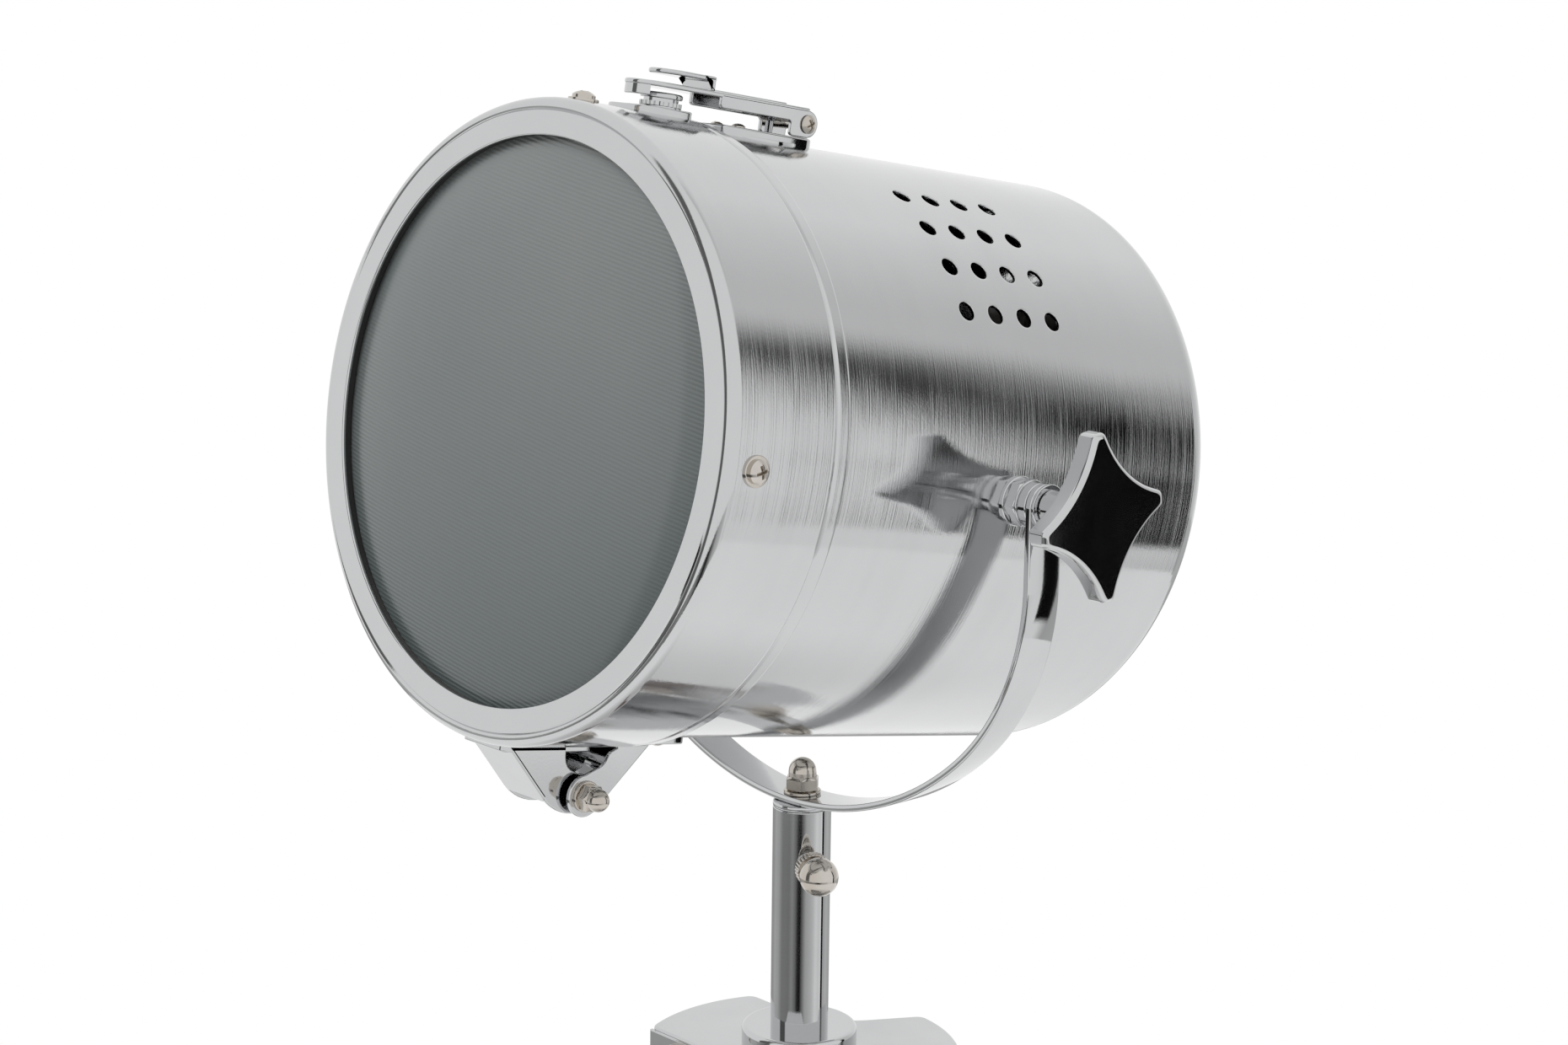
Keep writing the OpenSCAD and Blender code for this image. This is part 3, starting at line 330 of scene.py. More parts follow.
# one object from several placed shapes; it rides on the body of its node, which has the piece's name
# in small letters unless another is given
def addPiece(name, look, shapes, sharp=32, uv=None, node=None):
    node = node or re.sub("([A-Z0-9])", r"_\1", name).lower()
    starts = np.cumsum([0] + [len(k["v"]) for k in shapes])
    faces = []
    for k, start in zip(shapes, starts):
        faces += [(n + start).tolist() for n in (*k["q"], *k["t"], *k["n"])]
    mesh = bpy.data.meshes.new(name)
    mesh.from_pydata(np.vstack([k["v"] for k in shapes]).tolist(), [], faces)
    mesh.polygons.foreach_set("use_smooth", np.ones(len(mesh.polygons), bool))
    mesh.set_sharp_from_angle(angle=math.radians(sharp))
    if uv is not None:
        layer = mesh.uv_layers.new(name="along")
        index = np.zeros(len(mesh.loops), np.int32)
        mesh.loops.foreach_get("vertex_index", index)
        layer.data.foreach_set("uv", uv[index].astype(np.float32).ravel())
    mesh.update()
    piece = bpy.data.objects.new(name, mesh)
    scene.collection.objects.link(piece)
    mesh.materials.append(finish[look])
    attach(piece, frame["nodes"][node]["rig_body"])
    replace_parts(piece, node)
    made.append(piece)


# a node with its settings and inputs; an input is a value or another node's output
def addNode(tree, kind, inputs=None, **settings):
    n = tree.nodes.new(kind)
    for key, value in settings.items():
        setattr(n, key, value)
    for key, value in (inputs or {}).items():
        if isinstance(value, bpy.types.NodeSocket):
            tree.links.new(value, n.inputs[key])
        else:
            n.inputs[key].default_value = value
    return n


# a math node's output
def calc(tree, operation, *values, **settings):
    return addNode(tree, "ShaderNodeMath", dict(enumerate(values)), operation=operation, **settings).outputs[0]


# a value carried from one range to another
def ranged(tree, value, start, end, low=0.0, high=1.0, curve="LINEAR"):
    inputs = {"Value": value, "From Min": start, "From Max": end, "To Min": low, "To Max": high}
    return addNode(tree, "ShaderNodeMapRange", inputs, interpolation_type=curve).outputs["Result"]


# smooth step of a value between two limits
def eased(tree, value, start, end, low=0.0, high=1.0):
    return ranged(tree, value, start, end, low, high, "SMOOTHSTEP")


# two colours mixed by a factor
def mixed(tree, factor, a, b):
    a, b = [(*c, 1) if isinstance(c, tuple) else c for c in (a, b)]
    return addNode(tree, "ShaderNodeMix", {0: factor, 6: a, 7: b}, data_type="RGBA").outputs[2]


# one number or another by a factor
def blended(tree, factor, a, b):
    return addNode(tree, "ShaderNodeMix", {0: factor, 2: a, 3: b}, data_type="FLOAT").outputs[0]


# place of a point on its own object
def objectAt(tree):
    return addNode(tree, "ShaderNodeTexCoord").outputs["Object"]


# distance of a place along a direction
def along(tree, at, axis):
    return addNode(tree, "ShaderNodeVectorMath", {0: at, 1: axis}, operation="DOT_PRODUCT").outputs["Value"]


# noise over a place, or over a distance where line is set
def noise(tree, at, scale, detail, line=False, **more):
    inputs = {"W" if line else "Vector": at, "Scale": scale, "Detail": detail, **more}
    return addNode(tree, "ShaderNodeTexNoise", inputs, noise_dimensions="1D" if line else "3D").outputs["Fac"]


# a shader group with named inputs, and number outputs
def newGroup(name, inputs, outputs):
    g = bpy.data.node_groups.new(name, "ShaderNodeTree")
    for key, kind, value in inputs:
        g.interface.new_socket(key, in_out="INPUT", socket_type="NodeSocket" + kind).default_value = value
    for key in outputs:
        g.interface.new_socket(key, in_out="OUTPUT", socket_type="NodeSocketFloat")
    return g, g.nodes.new("NodeGroupInput").outputs, g.nodes.new("NodeGroupOutput").inputs


# handling marks: a soft cloud and a fine scratch pattern, each from 0 to 1
def marksGroup():
    inputs = [("Cloud Scale", "Float", 14.0), ("Fine Scale", "Float", 900.0)]
    g, given, out = newGroup("handlingMarks", inputs, ("Cloud", "Fine"))
    at = objectAt(g)
    cloud = noise(g, at, given["Cloud Scale"], 4.0, Roughness=0.62)
    g.links.new(ranged(g, cloud, 0.34, 0.68), out["Cloud"])
    g.links.new(noise(g, at, given["Fine Scale"], 2.0, Roughness=0.5), out["Fine"])
    return g


# polishing lines: noise of the distance along one axis, broken up by a slow cloud
def linesGroup():
    inputs = [("Axis", "Vector", (0, 0, 1)), ("Pitch Scale", "Float", 900.0)]
    g, given, out = newGroup("polishLines", inputs, ("Lines", "Bands"))
    at = objectAt(g)
    far = along(g, at, given["Axis"])
    slow = noise(g, at, 22.0, 2.0)
    fine = noise(g, calc(g, "MULTIPLY_ADD", slow, 0.0006, far), given["Pitch Scale"], 3.0, True, Roughness=0.6)
    g.links.new(calc(g, "MULTIPLY", fine, slow), out["Lines"])
    g.links.new(noise(g, far, 60.0, 2.0, True), out["Bands"])
    return g


# dust: a thin film on faces that look up, thicker in a slow cloud
def dustGroup():
    g, given, out = newGroup("restingDust", [("Amount", "Float", 0.1)], ("Dust",))
    up = addNode(g, "ShaderNodeSeparateXYZ", {"Vector": addNode(g, "ShaderNodeNewGeometry").outputs["Normal"]})
    spread = calc(g, "MULTIPLY", noise(g, objectAt(g), 320.0, 5.0), ranged(g, up.outputs["Z"], 0.55, 1.0))
    g.links.new(calc(g, "MULTIPLY", spread, given["Amount"], use_clamp=True), out["Dust"])
    return g


groups = {"marks": marksGroup(), "lines": linesGroup(), "dust": dustGroup()}
print("shader groups:", len(groups))


# an empty node tree
def emptied(owner):
    owner.use_nodes = True
    owner.node_tree.nodes.clear()
    return owner.node_tree


# a material with one shader joined to its output
def newMaterial(name):
    m = bpy.data.materials.new(name)
    tree = emptied(m)
    shader = addNode(tree, "ShaderNodeBsdfPrincipled")
    addNode(tree, "ShaderNodeOutputMaterial", {"Surface": shader.outputs["BSDF"]})
    return m, tree, shader


# a shared effect's outputs, with its inputs set
def useGroup(tree, key, **values):
    n = addNode(tree, "ShaderNodeGroup", node_tree=groups[key])
    for name, value in values.items():
        n.inputs[name.replace("_", " ")].default_value = value
    return n.outputs


# colour, roughness and bump joined to the shader, and its constants set
def wired(tree, shader, colour, rough, height, strength, depth, **constants):
    lift = addNode(tree, "ShaderNodeBump", {"Height": height, "Strength": strength, "Distance": depth})
    for key, value in (("Base Color", colour), ("Roughness", rough), ("Normal", lift.outputs["Normal"])):
        tree.links.new(value, shader.inputs[key])
    for key, value in constants.items():
        shader.inputs[key.replace("_", " ")].default_value = value


# plated or bare metal: tint and gloss follow handling marks, and polishing lines where the piece was turned
def metalFinish(name, tint, stain, gloss, haze, cloud=14.0, bump=0.02, axis=None, pitch=0.0, dust=0.05):
    m, tree, shader = newMaterial(name)
    marks = useGroup(tree, "marks", Cloud_Scale=cloud, Fine_Scale=900.0)
    film = useGroup(tree, "dust", Amount=dust)
    colour = mixed(tree, marks["Cloud"], tint, stain)
    rough = ranged(tree, marks["Cloud"], 0.0, 1.0, gloss, haze)
    height = marks["Fine"]
    if axis:
        polish = useGroup(tree, "lines", Axis=axis, Pitch_Scale=pitch)
        colour = mixed(tree, polish["Bands"], tint, colour)
        rough = calc(tree, "MULTIPLY_ADD", polish["Lines"], haze * 0.9, rough)
        height = calc(tree, "MULTIPLY_ADD", height, 0.25, polish["Lines"])
    rough = calc(tree, "MULTIPLY_ADD", film["Dust"], 0.5, rough)
    wired(tree, shader, colour, rough, height, bump, 0.0002, Metallic=1.0)
    return m


drumAxis = (0.0, -tiltCos, tiltSin)
finish = {
    "chrome": metalFinish("polishedChrome", (0.60, 0.605, 0.61), (0.55, 0.555, 0.56), 0.025, 0.07),
    "chromeHead": metalFinish("polishedChromeHead", (0.60, 0.605, 0.61), (0.56, 0.565, 0.57), 0.03, 0.08, bump=0.18,
                              axis=drumAxis, pitch=1400.0),
    "chromePost": metalFinish("polishedChromePost", (0.60, 0.605, 0.61), (0.55, 0.555, 0.56), 0.025, 0.06, bump=0.03,
                              axis=(0, 0, 1), pitch=900.0),
    "nickel": metalFinish("brightNickel", (0.60, 0.57, 0.53), (0.50, 0.46, 0.41), 0.05, 0.14, cloud=40.0),
    "zinc": metalFinish("zincSteel", (0.42, 0.43, 0.44), (0.32, 0.33, 0.34), 0.25, 0.42, bump=0.12, dust=0.15),
    "aluminium": metalFinish("spunAluminium", (0.66, 0.66, 0.66), (0.58, 0.58, 0.58), 0.16, 0.26, bump=0.10,
                             axis=drumAxis, pitch=700.0),
    "brass": metalFinish("rolledBrass", (0.55, 0.38, 0.14), (0.40, 0.26, 0.09), 0.18, 0.34, bump=0.08),
}


# moulded or glazed solid: colour and gloss drift with the marks, fine grain as bump
def mouldedFinish(name, tint, stain, gloss, haze, bump=0.2, coat=0.0):
    m, tree, shader = newMaterial(name)
    marks = useGroup(tree, "marks", Cloud_Scale=24.0, Fine_Scale=600.0)
    film = useGroup(tree, "dust", Amount=0.2)
    colour = mixed(tree, marks["Cloud"], tint, stain)
    colour = mixed(tree, film["Dust"], colour, (0.45, 0.44, 0.42))
    rough = ranged(tree, marks["Cloud"], 0.0, 1.0, gloss, haze)
    wired(tree, shader, colour, rough, marks["Fine"], bump, 0.0003, Coat_Weight=coat, Coat_Roughness=0.08)
    return m


finish["rubber"] = mouldedFinish("blackRubber", (0.018, 0.018, 0.019), (0.032, 0.031, 0.030), 0.62, 0.80, 0.35)
finish["plastic"] = mouldedFinish("blackPlastic", (0.020, 0.020, 0.021), (0.030, 0.030, 0.031), 0.38, 0.52)
finish["glazed"] = mouldedFinish("glazedHolder", (0.76, 0.73, 0.66), (0.68, 0.64, 0.56), 0.22, 0.34, 0.05, 0.6)
finish["opal"] = mouldedFinish("opalBulb", (0.88, 0.87, 0.84), (0.82, 0.81, 0.78), 0.12, 0.2, 0.02, 0.5)


# ribbed lens: a clear smooth face over a cloudy ribbed body that lets some light through; its colour carries painted
# shade, darker toward the bottom
def lensFinish():
    m, tree, shader = newMaterial("ribbedGlass")
    marks = useGroup(tree, "marks", Cloud_Scale=9.0, Fine_Scale=1500.0)
    lean, upward = math.radians(-lens["turn"]), np.array([0.0, tiltSin, tiltCos])
    overRibs = math.cos(lean) * upward + (math.sin(lean), 0, 0)
    at = objectAt(tree)
    wave = calc(tree, "SINE", calc(tree, "MULTIPLY", along(tree, at, overRibs), 2000 * math.pi / lens["pitch"]))
    middle = float(inHead(np.zeros((1, 3)))[0] @ upward)
    # painted shade: the lens colour darkens steadily from near its top to its bottom
    low = ranged(tree, along(tree, at, upward), middle + lens["paintedShadeFrom"], middle + lens["paintedShadeTo"])
    colour = mixed(tree, marks["Cloud"], (0.270, 0.290, 0.285), (0.235, 0.262, 0.262))
    colour = mixed(tree, low, colour, (0.135, 0.162, 0.164))
    rough = ranged(tree, marks["Fine"], 0.0, 1.0, 0.30, 0.44)
    wired(tree, shader, colour, rough, wave, 0.35, 0.0002, Transmission_Weight=0.35, IOR=1.5, Coat_Weight=0.6,
          Coat_Roughness=0.04)
    return m


# stained wood: long fibres along the leg from its own map, darker pores, satin lacquer
def woodFinish():
    m, tree, shader = newMaterial("stainedWood")
    at = addNode(tree, "ShaderNodeUVMap", uv_map="along").outputs["UV"]
    at = addNode(tree, "ShaderNodeMapping", {"Vector": at, "Scale": (1.0, 0.035, 1.0)}).outputs["Vector"]
    bands = noise(tree, at, 190.0, 5.0, Roughness=0.6, Distortion=0.6)
    fibres = noise(tree, at, 1500.0, 3.0)
    colour = mixed(tree, ranged(tree, bands, 0.32, 0.70), (0.030, 0.013, 0.007), (0.105, 0.045, 0.020))
    colour = mixed(tree, ranged(tree, fibres, 0.52, 0.72), colour, (0.014, 0.007, 0.004))
    colour = mixed(tree, useGroup(tree, "dust", Amount=0.25)["Dust"], colour, (0.40, 0.38, 0.35))
    rough = ranged(tree, fibres, 0.0, 1.0, 0.28, 0.46)
    wired(tree, shader, colour, rough, fibres, 0.25, 0.0003, Coat_Weight=0.35, Coat_Roughness=0.18)
    return m


finish["wood"] = woodFinish()
print("finishes:", len(finish))


drum = {"outer": 121.5, "inner": 120.0, "front": 97.6, "rear": -102.0, "hole": 4.0, "edge": 0.25,
        "columns": (24.0, 7.5, -9.0, -25.5), "firstRow": 32.8, "rowStep": 9.6, "pitch": 16.5, "rings": 6,
        "perVent": 8, "endCells": 6, "backCells": 186}


# drum wall: a grid of angle and length on a cylinder; each vent is a square of the grid
# whose sides blend into a circle, with a wall through the sheet
def ventedDrum():
    half = drum["rowStep"] / 2
    low = drum["firstRow"] - half
    high = low + 4 * drum["rowStep"]
    per, end, n = drum["perVent"], drum["endCells"], 4 * drum["perVent"]
    cuts = [(low, high, n), (high, 180 - high, n), (180 - high, 180 - low, n),
            (180 - low, 360 + low, drum["backCells"])]
    theta = np.concatenate([np.linspace(a, b, k + 1)[:-1] for a, b, k in cuts])
    sLow, sHigh = drum["columns"][3] - drum["pitch"] / 2, drum["columns"][0] + drum["pitch"] / 2
    lines = np.concatenate([np.linspace(drum["rear"], sLow, end + 1)[:-1], np.linspace(sLow, sHigh, n + 1)[:-1],
                            np.linspace(sHigh, drum["front"], end + 1)])
    rows, cols = len(lines), len(theta)
    quads = gridQuads(rows, cols, False, True)
    i, j = quads[:, 0] // cols, quads[:, 0] % cols
    quads = quads[~((i >= end) & (i < end + n) & ((j < n) | ((j >= 2 * n) & (j < 3 * n))))]
    t, one = np.linspace(-1, 1, per + 1)[:-1], np.ones(per)
    square = np.stack([np.concatenate([t, one, -t, -one]), np.concatenate([-one, t, one, -t])], 1)
    square = square * [np.radians(half) * drum["outer"], drum["pitch"] / 2]
    phi = np.arctan2(square[:, 1], square[:, 0])
    circle = np.stack([np.cos(phi), np.sin(phi)], 1)
    w = (np.linspace(0, 1, drum["rings"] + 1) ** 0.8)[:, None, None]
    patch = (1 - w) * square + w * circle * (drum["hole"] + drum["edge"])
    angles = np.array([drum["firstRow"] + k * drum["rowStep"] for k in range(4)])
    angles = np.concatenate([angles, 180 - angles])
    mid = np.stack(np.meshgrid(angles, drum["columns"], indexing="ij"), -1).reshape(-1, 2)
    def spread(cell, r):  # cell points (distance round, length) to the wall of radius r
        a = np.radians(mid[:, 0])[:, None] + cell[None, :, 0] / drum["outer"]
        return onCircle(r, a, mid[:, 1][:, None] + cell[None, :, 1])
    def wall(r):  # plain grid and patches on radius r
        a, s = np.meshgrid(np.radians(theta), lines)
        return onCircle(r, a, s).reshape(-1, 3), spread(patch.reshape(-1, 2), r).reshape(-1, 3)
    def tubes(count):  # quads of one tube of so many rows at each vent
        starts = np.arange(len(mid)) * count * n
        return (gridQuads(count, n, False, True)[None] + starts[:, None, None]).reshape(-1, 4)
    outPlain, outPatch = wall(drum["outer"])
    inPlain, inPatch = wall(drum["inner"])
    e, h = drum["edge"], drum["hole"]
    steps = [(h + e, drum["outer"]), (h + 0.3 * e, drum["outer"] - 0.3 * e), (h, drum["outer"] - e),
             (h, drum["inner"] + e), (h + e, drum["inner"])]
    bore = np.stack([spread(circle * r, at) for r, at in steps], 1).reshape(-1, 3)
    each = np.arange(cols)
    other, top = (each + 1) % cols, (rows - 1) * cols
    sets = [outPlain, inPlain, outPatch, inPatch, bore]
    k = np.cumsum([len(v) for v in sets])
    frontRim = np.stack([top + each, top + other, k[0] + top + other, k[0] + top + each], 1)
    rearRim = np.stack([each, k[0] + each, k[0] + other, other], 1)
    patches = tubes(drum["rings"] + 1)
    q = np.vstack([quads, quads[:, ::-1] + k[0], patches + k[1], patches[:, ::-1] + k[2], tubes(len(steps)) + k[3],
                   frontRim, rearRim])
    return welded(np.vstack(sets), q)


addPiece("drumShell", "chromeHead", [applied(ventedDrum(), inHead)])

rearCap = {"radius": 121.5, "face": -116.0, "edge": 12.0, "skirt": -102.0, "reach": -90.0, "wall": 1.5,
           "screwAngles": (110, 190, 270), "screwAt": (121.45, -96.0)}


# rear cap: a flat disc, a rounded edge and a skirt that goes into the drum, turned as one section
def rearCapSection():
    r, f, e, w = rearCap["radius"], rearCap["face"], rearCap["edge"], rearCap["wall"]
    outer = arc(r - e, f + e, e, -90, 0, 14)
    inner = arc(r - w - e, f + e, e - w, 0, -90, 10)
    skirt, reach = rearCap["skirt"], rearCap["reach"]
    step = [(r, skirt), (r - w, skirt), (r - w, reach), (r - 2 * w, reach)]
    return np.vstack([[(0, f), (40, f), (80, f)], outer, step, inner, [(0, f + w)]])


addPiece("drumRearCap", "chromeHead", [applied(lathe(rearCapSection(), 282), inHead)])

ring = {"radius": 125.0, "rear": 98.0, "front": 158.0, "wall": 1.5, "edge": 4.5, "open": 110.0, "bead": 1.75,
        "screwAngles": (0, 90, 180), "screwS": 144.0, "grooveAt": 105.2, "grooveDeep": 0.35, "crease": 0.55}


# door ring: bead, shallow groove, band, rounded edge and lip as one closed section turned round the axis
def ringSection():
    r, w, e, b, o = ring["radius"], ring["wall"], ring["edge"], ring["bead"], ring["open"]
    f, g, d = ring["front"], ring["grooveAt"], ring["grooveDeep"]
    bead = arc(r - b, ring["rear"] + b, b, -262, 0, 22)
    groove = [(r, g - 1.3), (r - 0.5 * d, g - 0.6), (r - d, g), (r - 0.5 * d, g + 0.6), (r, g + 1.3)]
    front = arc(r - e, f - e, e, 0, 84, 14)
    c, k = r - e - 0.2, ring["crease"]
    crease = [(c, f - 0.6 * k), (c - 0.25, f - k), (c - 0.55, f - 0.5 * k), (c - 0.8, f)]
    lip = np.vstack([arc(o + 0.7, f - 0.7, 0.7, 90, 180, 6), arc(o + 0.3, f - w + 0.3, 0.3, 180, 270, 3)])
    inside = arc(r - e, f - e, e - w, 90, 0, 8)
    return np.vstack([bead, groove, front, crease, lip, inside, [(r - w, ring["rear"] + 2 * b + 0.6)]])


addPiece("doorRing", "chromeHead", [applied(lathe(ringSection(), 320, True), inHead)])

# the last two entries are the heights, in metres from the lens middle, where the painted shade begins and where it is
# full
lens = {"radius": 115.6, "dome": 109.6, "rear": 149.4, "front": 153.4, "rise": 4.0, "power": 6.0, "pitch": 1.62,
        "depth": 0.25, "perRib": 4, "across": 40, "turn": -8.5, "paintedShadeFrom": 0.09, "paintedShadeTo": -0.11}


# lens front: height falls off with a high power of the radius, a flat crown with a round shoulder; then the rim.
# lens back: lines of a disc with rounded ridges across it that fade at its edge, inside a flat band
def ribbedLens():
    dome, rear, far = lens["dome"], lens["rear"], lens["radius"]
    r = dome * np.linspace(0, 1, 60) ** 0.75
    crown = np.stack([r, lens["front"] + lens["rise"] * (1 - (r / dome) ** lens["power"])], 1)
    rim = [(far - 0.4, lens["front"]), (far, lens["front"] - 0.4), (far, rear + 0.4), (far - 0.4, rear)]
    count = int(2 * dome / lens["pitch"] * lens["perRib"])
    q = dome * np.sin(np.linspace(-np.pi / 2, np.pi / 2, count + 1)) * 0.15 + 0.85 * np.linspace(-dome, dome, count + 1)
    width = np.sqrt(np.maximum(dome ** 2 - q ** 2, 0))
    x = width[:, None] * np.linspace(1, -1, lens["across"] + 1)[None]
    u = q[:, None] + 0 * x
    fade = np.clip((dome - np.hypot(x, u)) / 1.5, 0, 1)
    z = rear + lens["depth"] * fade * np.abs(np.sin(np.pi * u / lens["pitch"]))
    ribs = np.stack([x, u, z], -1).reshape(-1, 3)
    cols = lens["across"] + 1
    edge = np.concatenate([np.arange(count) * cols + cols - 1, np.arange(count, 0, -1) * cols])
    angle = np.arctan2(ribs[edge, 1], ribs[edge, 0])
    rows = np.vstack([crown, rim])
    front = onCircle(rows[:, :1], angle, rows[:, 1:]).reshape(-1, 3)
    n = len(edge)
    skirt = gridQuads(len(rows) + 1, n, False, True)
    v = np.vstack([front, ribs[edge], ribs])
    return welded(v, np.vstack([skirt, gridQuads(count + 1, cols) + len(front) + n]))


finish["glass"] = lensFinish()
addPiece("lensGlass", "glass", [applied(ribbedLens(), turned(lens["turn"]), inHead)], sharp=60)
gasket = {"inner": 110.4, "outer": 115.6, "rear": 153.4, "front": 156.5, "soft": 0.5, "count": 256}
addPiece("lensGasket", "rubber", [applied(washer(*gasket.values()), inHead)])
print("drum, door ring and lens made")

screws = {"ring": (4.6, 3.0), "rear": (3.5, 2.4), "hinge": (3.2, 2.2), "latch": (2.8, 1.6), "pivot": (3.8, 2.0)}
ringScrews = []
for angle in ring["screwAngles"]:
    seat = radial(angle, ring["radius"], ring["screwS"])
    ringScrews += [applied(washer(1.5, 6.0, -0.3, 1.0, 0.3), seat, inHead),
                   applied(crossHead(*screws["ring"]), turned(20), moved(0, 0, 0.95), seat, inHead)]
addPiece("ringScrews", "nickel", ringScrews)
rearSeats = [radial(a, *rearCap["screwAt"]) for a in rearCap["screwAngles"]]
addPiece("rearCapScrews", "nickel", [applied(crossHead(*screws["rear"]), turned(35), k, inHead) for k in rearSeats])
flatScrews = {"hingeDrumScrews": ("hinge", -1, 9.0, -123.5, 69.6), "hingeDoorScrews": ("hinge", -1, 6.0, -127.0, 126.5),
              "latchBaseScrews": ("latch", 1, 6.5, 124.7, 69.0)}  # kind, facing, then across, height and length
for name, (kind, facing, x, u, s) in flatScrews.items():
    seats = [laid((0, 2, 1), (1, facing, 1), (k * x, u, s)) for k in (-1, 1)]
    addPiece(name, "nickel", [applied(crossHead(*screws[kind]), seat, inHead) for seat in seats])

knob = {"tip": 33.5, "waist": 21.0, "side": 50.0, "turn": 17.0, "from": 158.1, "thick": 9.0, "soft": 1.2,
        "bevel": (1.9, 2.2), "blend": 1.3, "boss": 7.0, "bossFrom": 138.4}


# four-pointed outline: at each angle the nearer of the tip circle and the hollow circle of the sides,
# moved in by the inset and blended where they meet
def knobOutline(inset):
    a = np.linspace(0, 2 * np.pi, 360, endpoint=False)
    far, r = knob["waist"] + knob["side"], knob["side"] + inset
    off = np.mod(a, np.pi / 2) - np.pi / 4
    inside = np.maximum(r ** 2 - (far * np.sin(off)) ** 2, 0)
    hollow = np.where(inside > 0, far * np.cos(off) - np.sqrt(inside), 99.0)
    k = knob["blend"]
    near = -np.log(np.exp(-hollow * k) + np.exp(-(knob["tip"] - inset) * k)) / k
    return np.stack([near * np.cos(a), near * np.sin(a)], 1)


# knob: the four-pointed outline drawn in at both faces, on a boss that flares into it
def knobShapes(side):
    a, b, f = knob["from"], knob["from"] + knob["thick"], knob["soft"]
    rows = softRows(a, b, f, 6, knob["bevel"])
    rows = supported(np.vstack([[(f + 0.05, a)], rows, [(knob["bevel"][0] + 0.05, b)]]))
    lay = laid((2, 1, 0), (side, 1, -1))
    body = piled(np.stack([knobOutline(k) for k in rows[:, 0]]), rows[:, 1])
    r = knob["boss"]
    profile = np.vstack([[(4, knob["bossFrom"])], arc(r - 0.6, knob["bossFrom"] + 0.6, 0.6, -90, 0, 4),
                         [(r, a - 2.0)], arc(r + 2.0, a - 2.0, 2.0, 180, 90, 5), [(4, a)]])
    return [applied(body, turned(90 + knob["turn"]), lay, inPivot), applied(lathe(profile, 96, True), lay, inPivot)]


addPiece("tiltKnobRight", "chrome", knobShapes(1))
addPiece("tiltKnobLeft", "chrome", knobShapes(-1))

pivot = {"bush": 10.0, "nut": 17.0, "bushTo": 133.2, "washer": (4.05, 9.0, 136.5, 138.1)}
bushes, pivotWashers = [], []
for side in (1, -1):
    lay = laid((2, 1, 0), (side, 1, -1))
    bushes += [applied(washer(4.1, pivot["bush"], 119.0, 122.6, 0.5), lay, inPivot),
               applied(hexNut(4.1, pivot["nut"], 122.2, 128.2), turned(14), lay, inPivot),
               applied(washer(4.1, pivot["bush"] - 0.6, 127.9, 129.0, 0.4), lay, inPivot),
               applied(washer(4.1, pivot["bush"] - 1.2, 128.9, pivot["bushTo"], 0.5), lay, inPivot)]
    pivotWashers.append(applied(washer(*pivot["washer"], 0.4), lay, inYoke))
addPiece("pivotBushes", "chrome", bushes)
addPiece("pivotWashers", "chrome", pivotWashers)

strap = {"reach": 135.0, "corner": 107.7, "turn": 48.888, "thick": 3.0, "width": 18.0, "drop": 30.0, "soft": 0.7}


# yoke: a round-cornered section carried down one arm, round two corner arcs and a wide bottom arc, and up the
# other arm; its half width follows a circle over the last stretch, so both ends come out round
def strapShape():
    w, d, turn = strap["width"] / 2, strap["drop"], math.radians(strap["turn"])
    off = strap["reach"] - strap["corner"]
    arm = np.concatenate([w * np.cos(np.linspace(0, np.pi / 2, 25)), np.linspace(0, -d, 10)[1:]])
    bend = np.radians(np.linspace(0, -180, 121))[1:-1]
    side = np.where(bend > -turn, 1, np.where(bend < turn - np.pi, -1, 0))
    r = np.where(side == 0, strap["corner"] + off / math.cos(turn), strap["corner"])
    level = np.where(side == 0, off * math.tan(turn) - d, -d)
    reach = np.full(len(arm), strap["reach"])
    x = np.concatenate([reach, side * off + r * np.cos(bend), -reach])
    z = np.concatenate([arm, level + r * np.sin(bend), arm[::-1]])
    out = np.concatenate([np.zeros(len(arm)), bend, np.full(len(arm), -np.pi)])
    half = np.sqrt(np.maximum(w ** 2 - np.maximum(z, 0) ** 2, 0))
    f, h = strap["soft"], strap["thick"] / 2
    arcs = np.vstack([arc(cx, 0, f, a, a + 90, 5) for cx, a in ((f - h, 180), (h - f, 270), (h - f, 0), (f - h, 90))])
    edge = np.repeat([-1, -1, 1, 1], 6)
    across = edge[None] * np.maximum(half - f, 0)[:, None] + arcs[None, :, 1] * np.minimum(half / f, 1)[:, None]
    section = np.stack([np.repeat(arcs[None, :, 0], len(x), 0), across], -1)
    path, first = np.stack([x, 0 * x, z], 1), np.stack([np.cos(out), 0 * x, np.sin(out)], 1)
    return sweep(section, path, first, np.tile([0.0, 1.0, 0.0], (len(x), 1)))


addPiece("yokeStrap", "chrome", [applied(strapShape(), inYoke)])
print("knobs and yoke made")

post = {"radius": 12.5, "wall": 1.5, "low": place["hubZ"], "top": place["yokeZ"] - 2.5,
        "thumbZ": place["yokeZ"] - 25.5, "thumbAngle": -28.0, "collar": 25.0, "collarHigh": 12.3, "collarEdge": 2.0}
addPiece("postTube", "chromePost",
         [applied(washer(post["radius"] - post["wall"], post["radius"], post["low"], post["top"], 0.4, 160), onPost)])
spigot = {"flange": 2.5, "plug": 10.9, "plugLong": 60.0, "stud": 4.0, "studLong": 15.0}
spigotBars = [rod(post["radius"], post["top"], post["top"] + spigot["flange"], 0.7, 128),
              rod(spigot["plug"], post["top"] - spigot["plugLong"], post["top"] + 0.2, 0.5),
              rod(spigot["stud"], post["top"] + 1, post["top"] + spigot["studLong"])]
addPiece("yokeSpigot", "chrome", [applied(k, onPost) for k in spigotBars])
collarTop = post["low"] + post["collarHigh"]
collarProfile = barSection(post["radius"], post["collar"], post["low"], collarTop, 0.5, post["collarEdge"], 10)
addPiece("hubCollar", "chromePost", [applied(lathe(collarProfile, 160, True), onPost)])


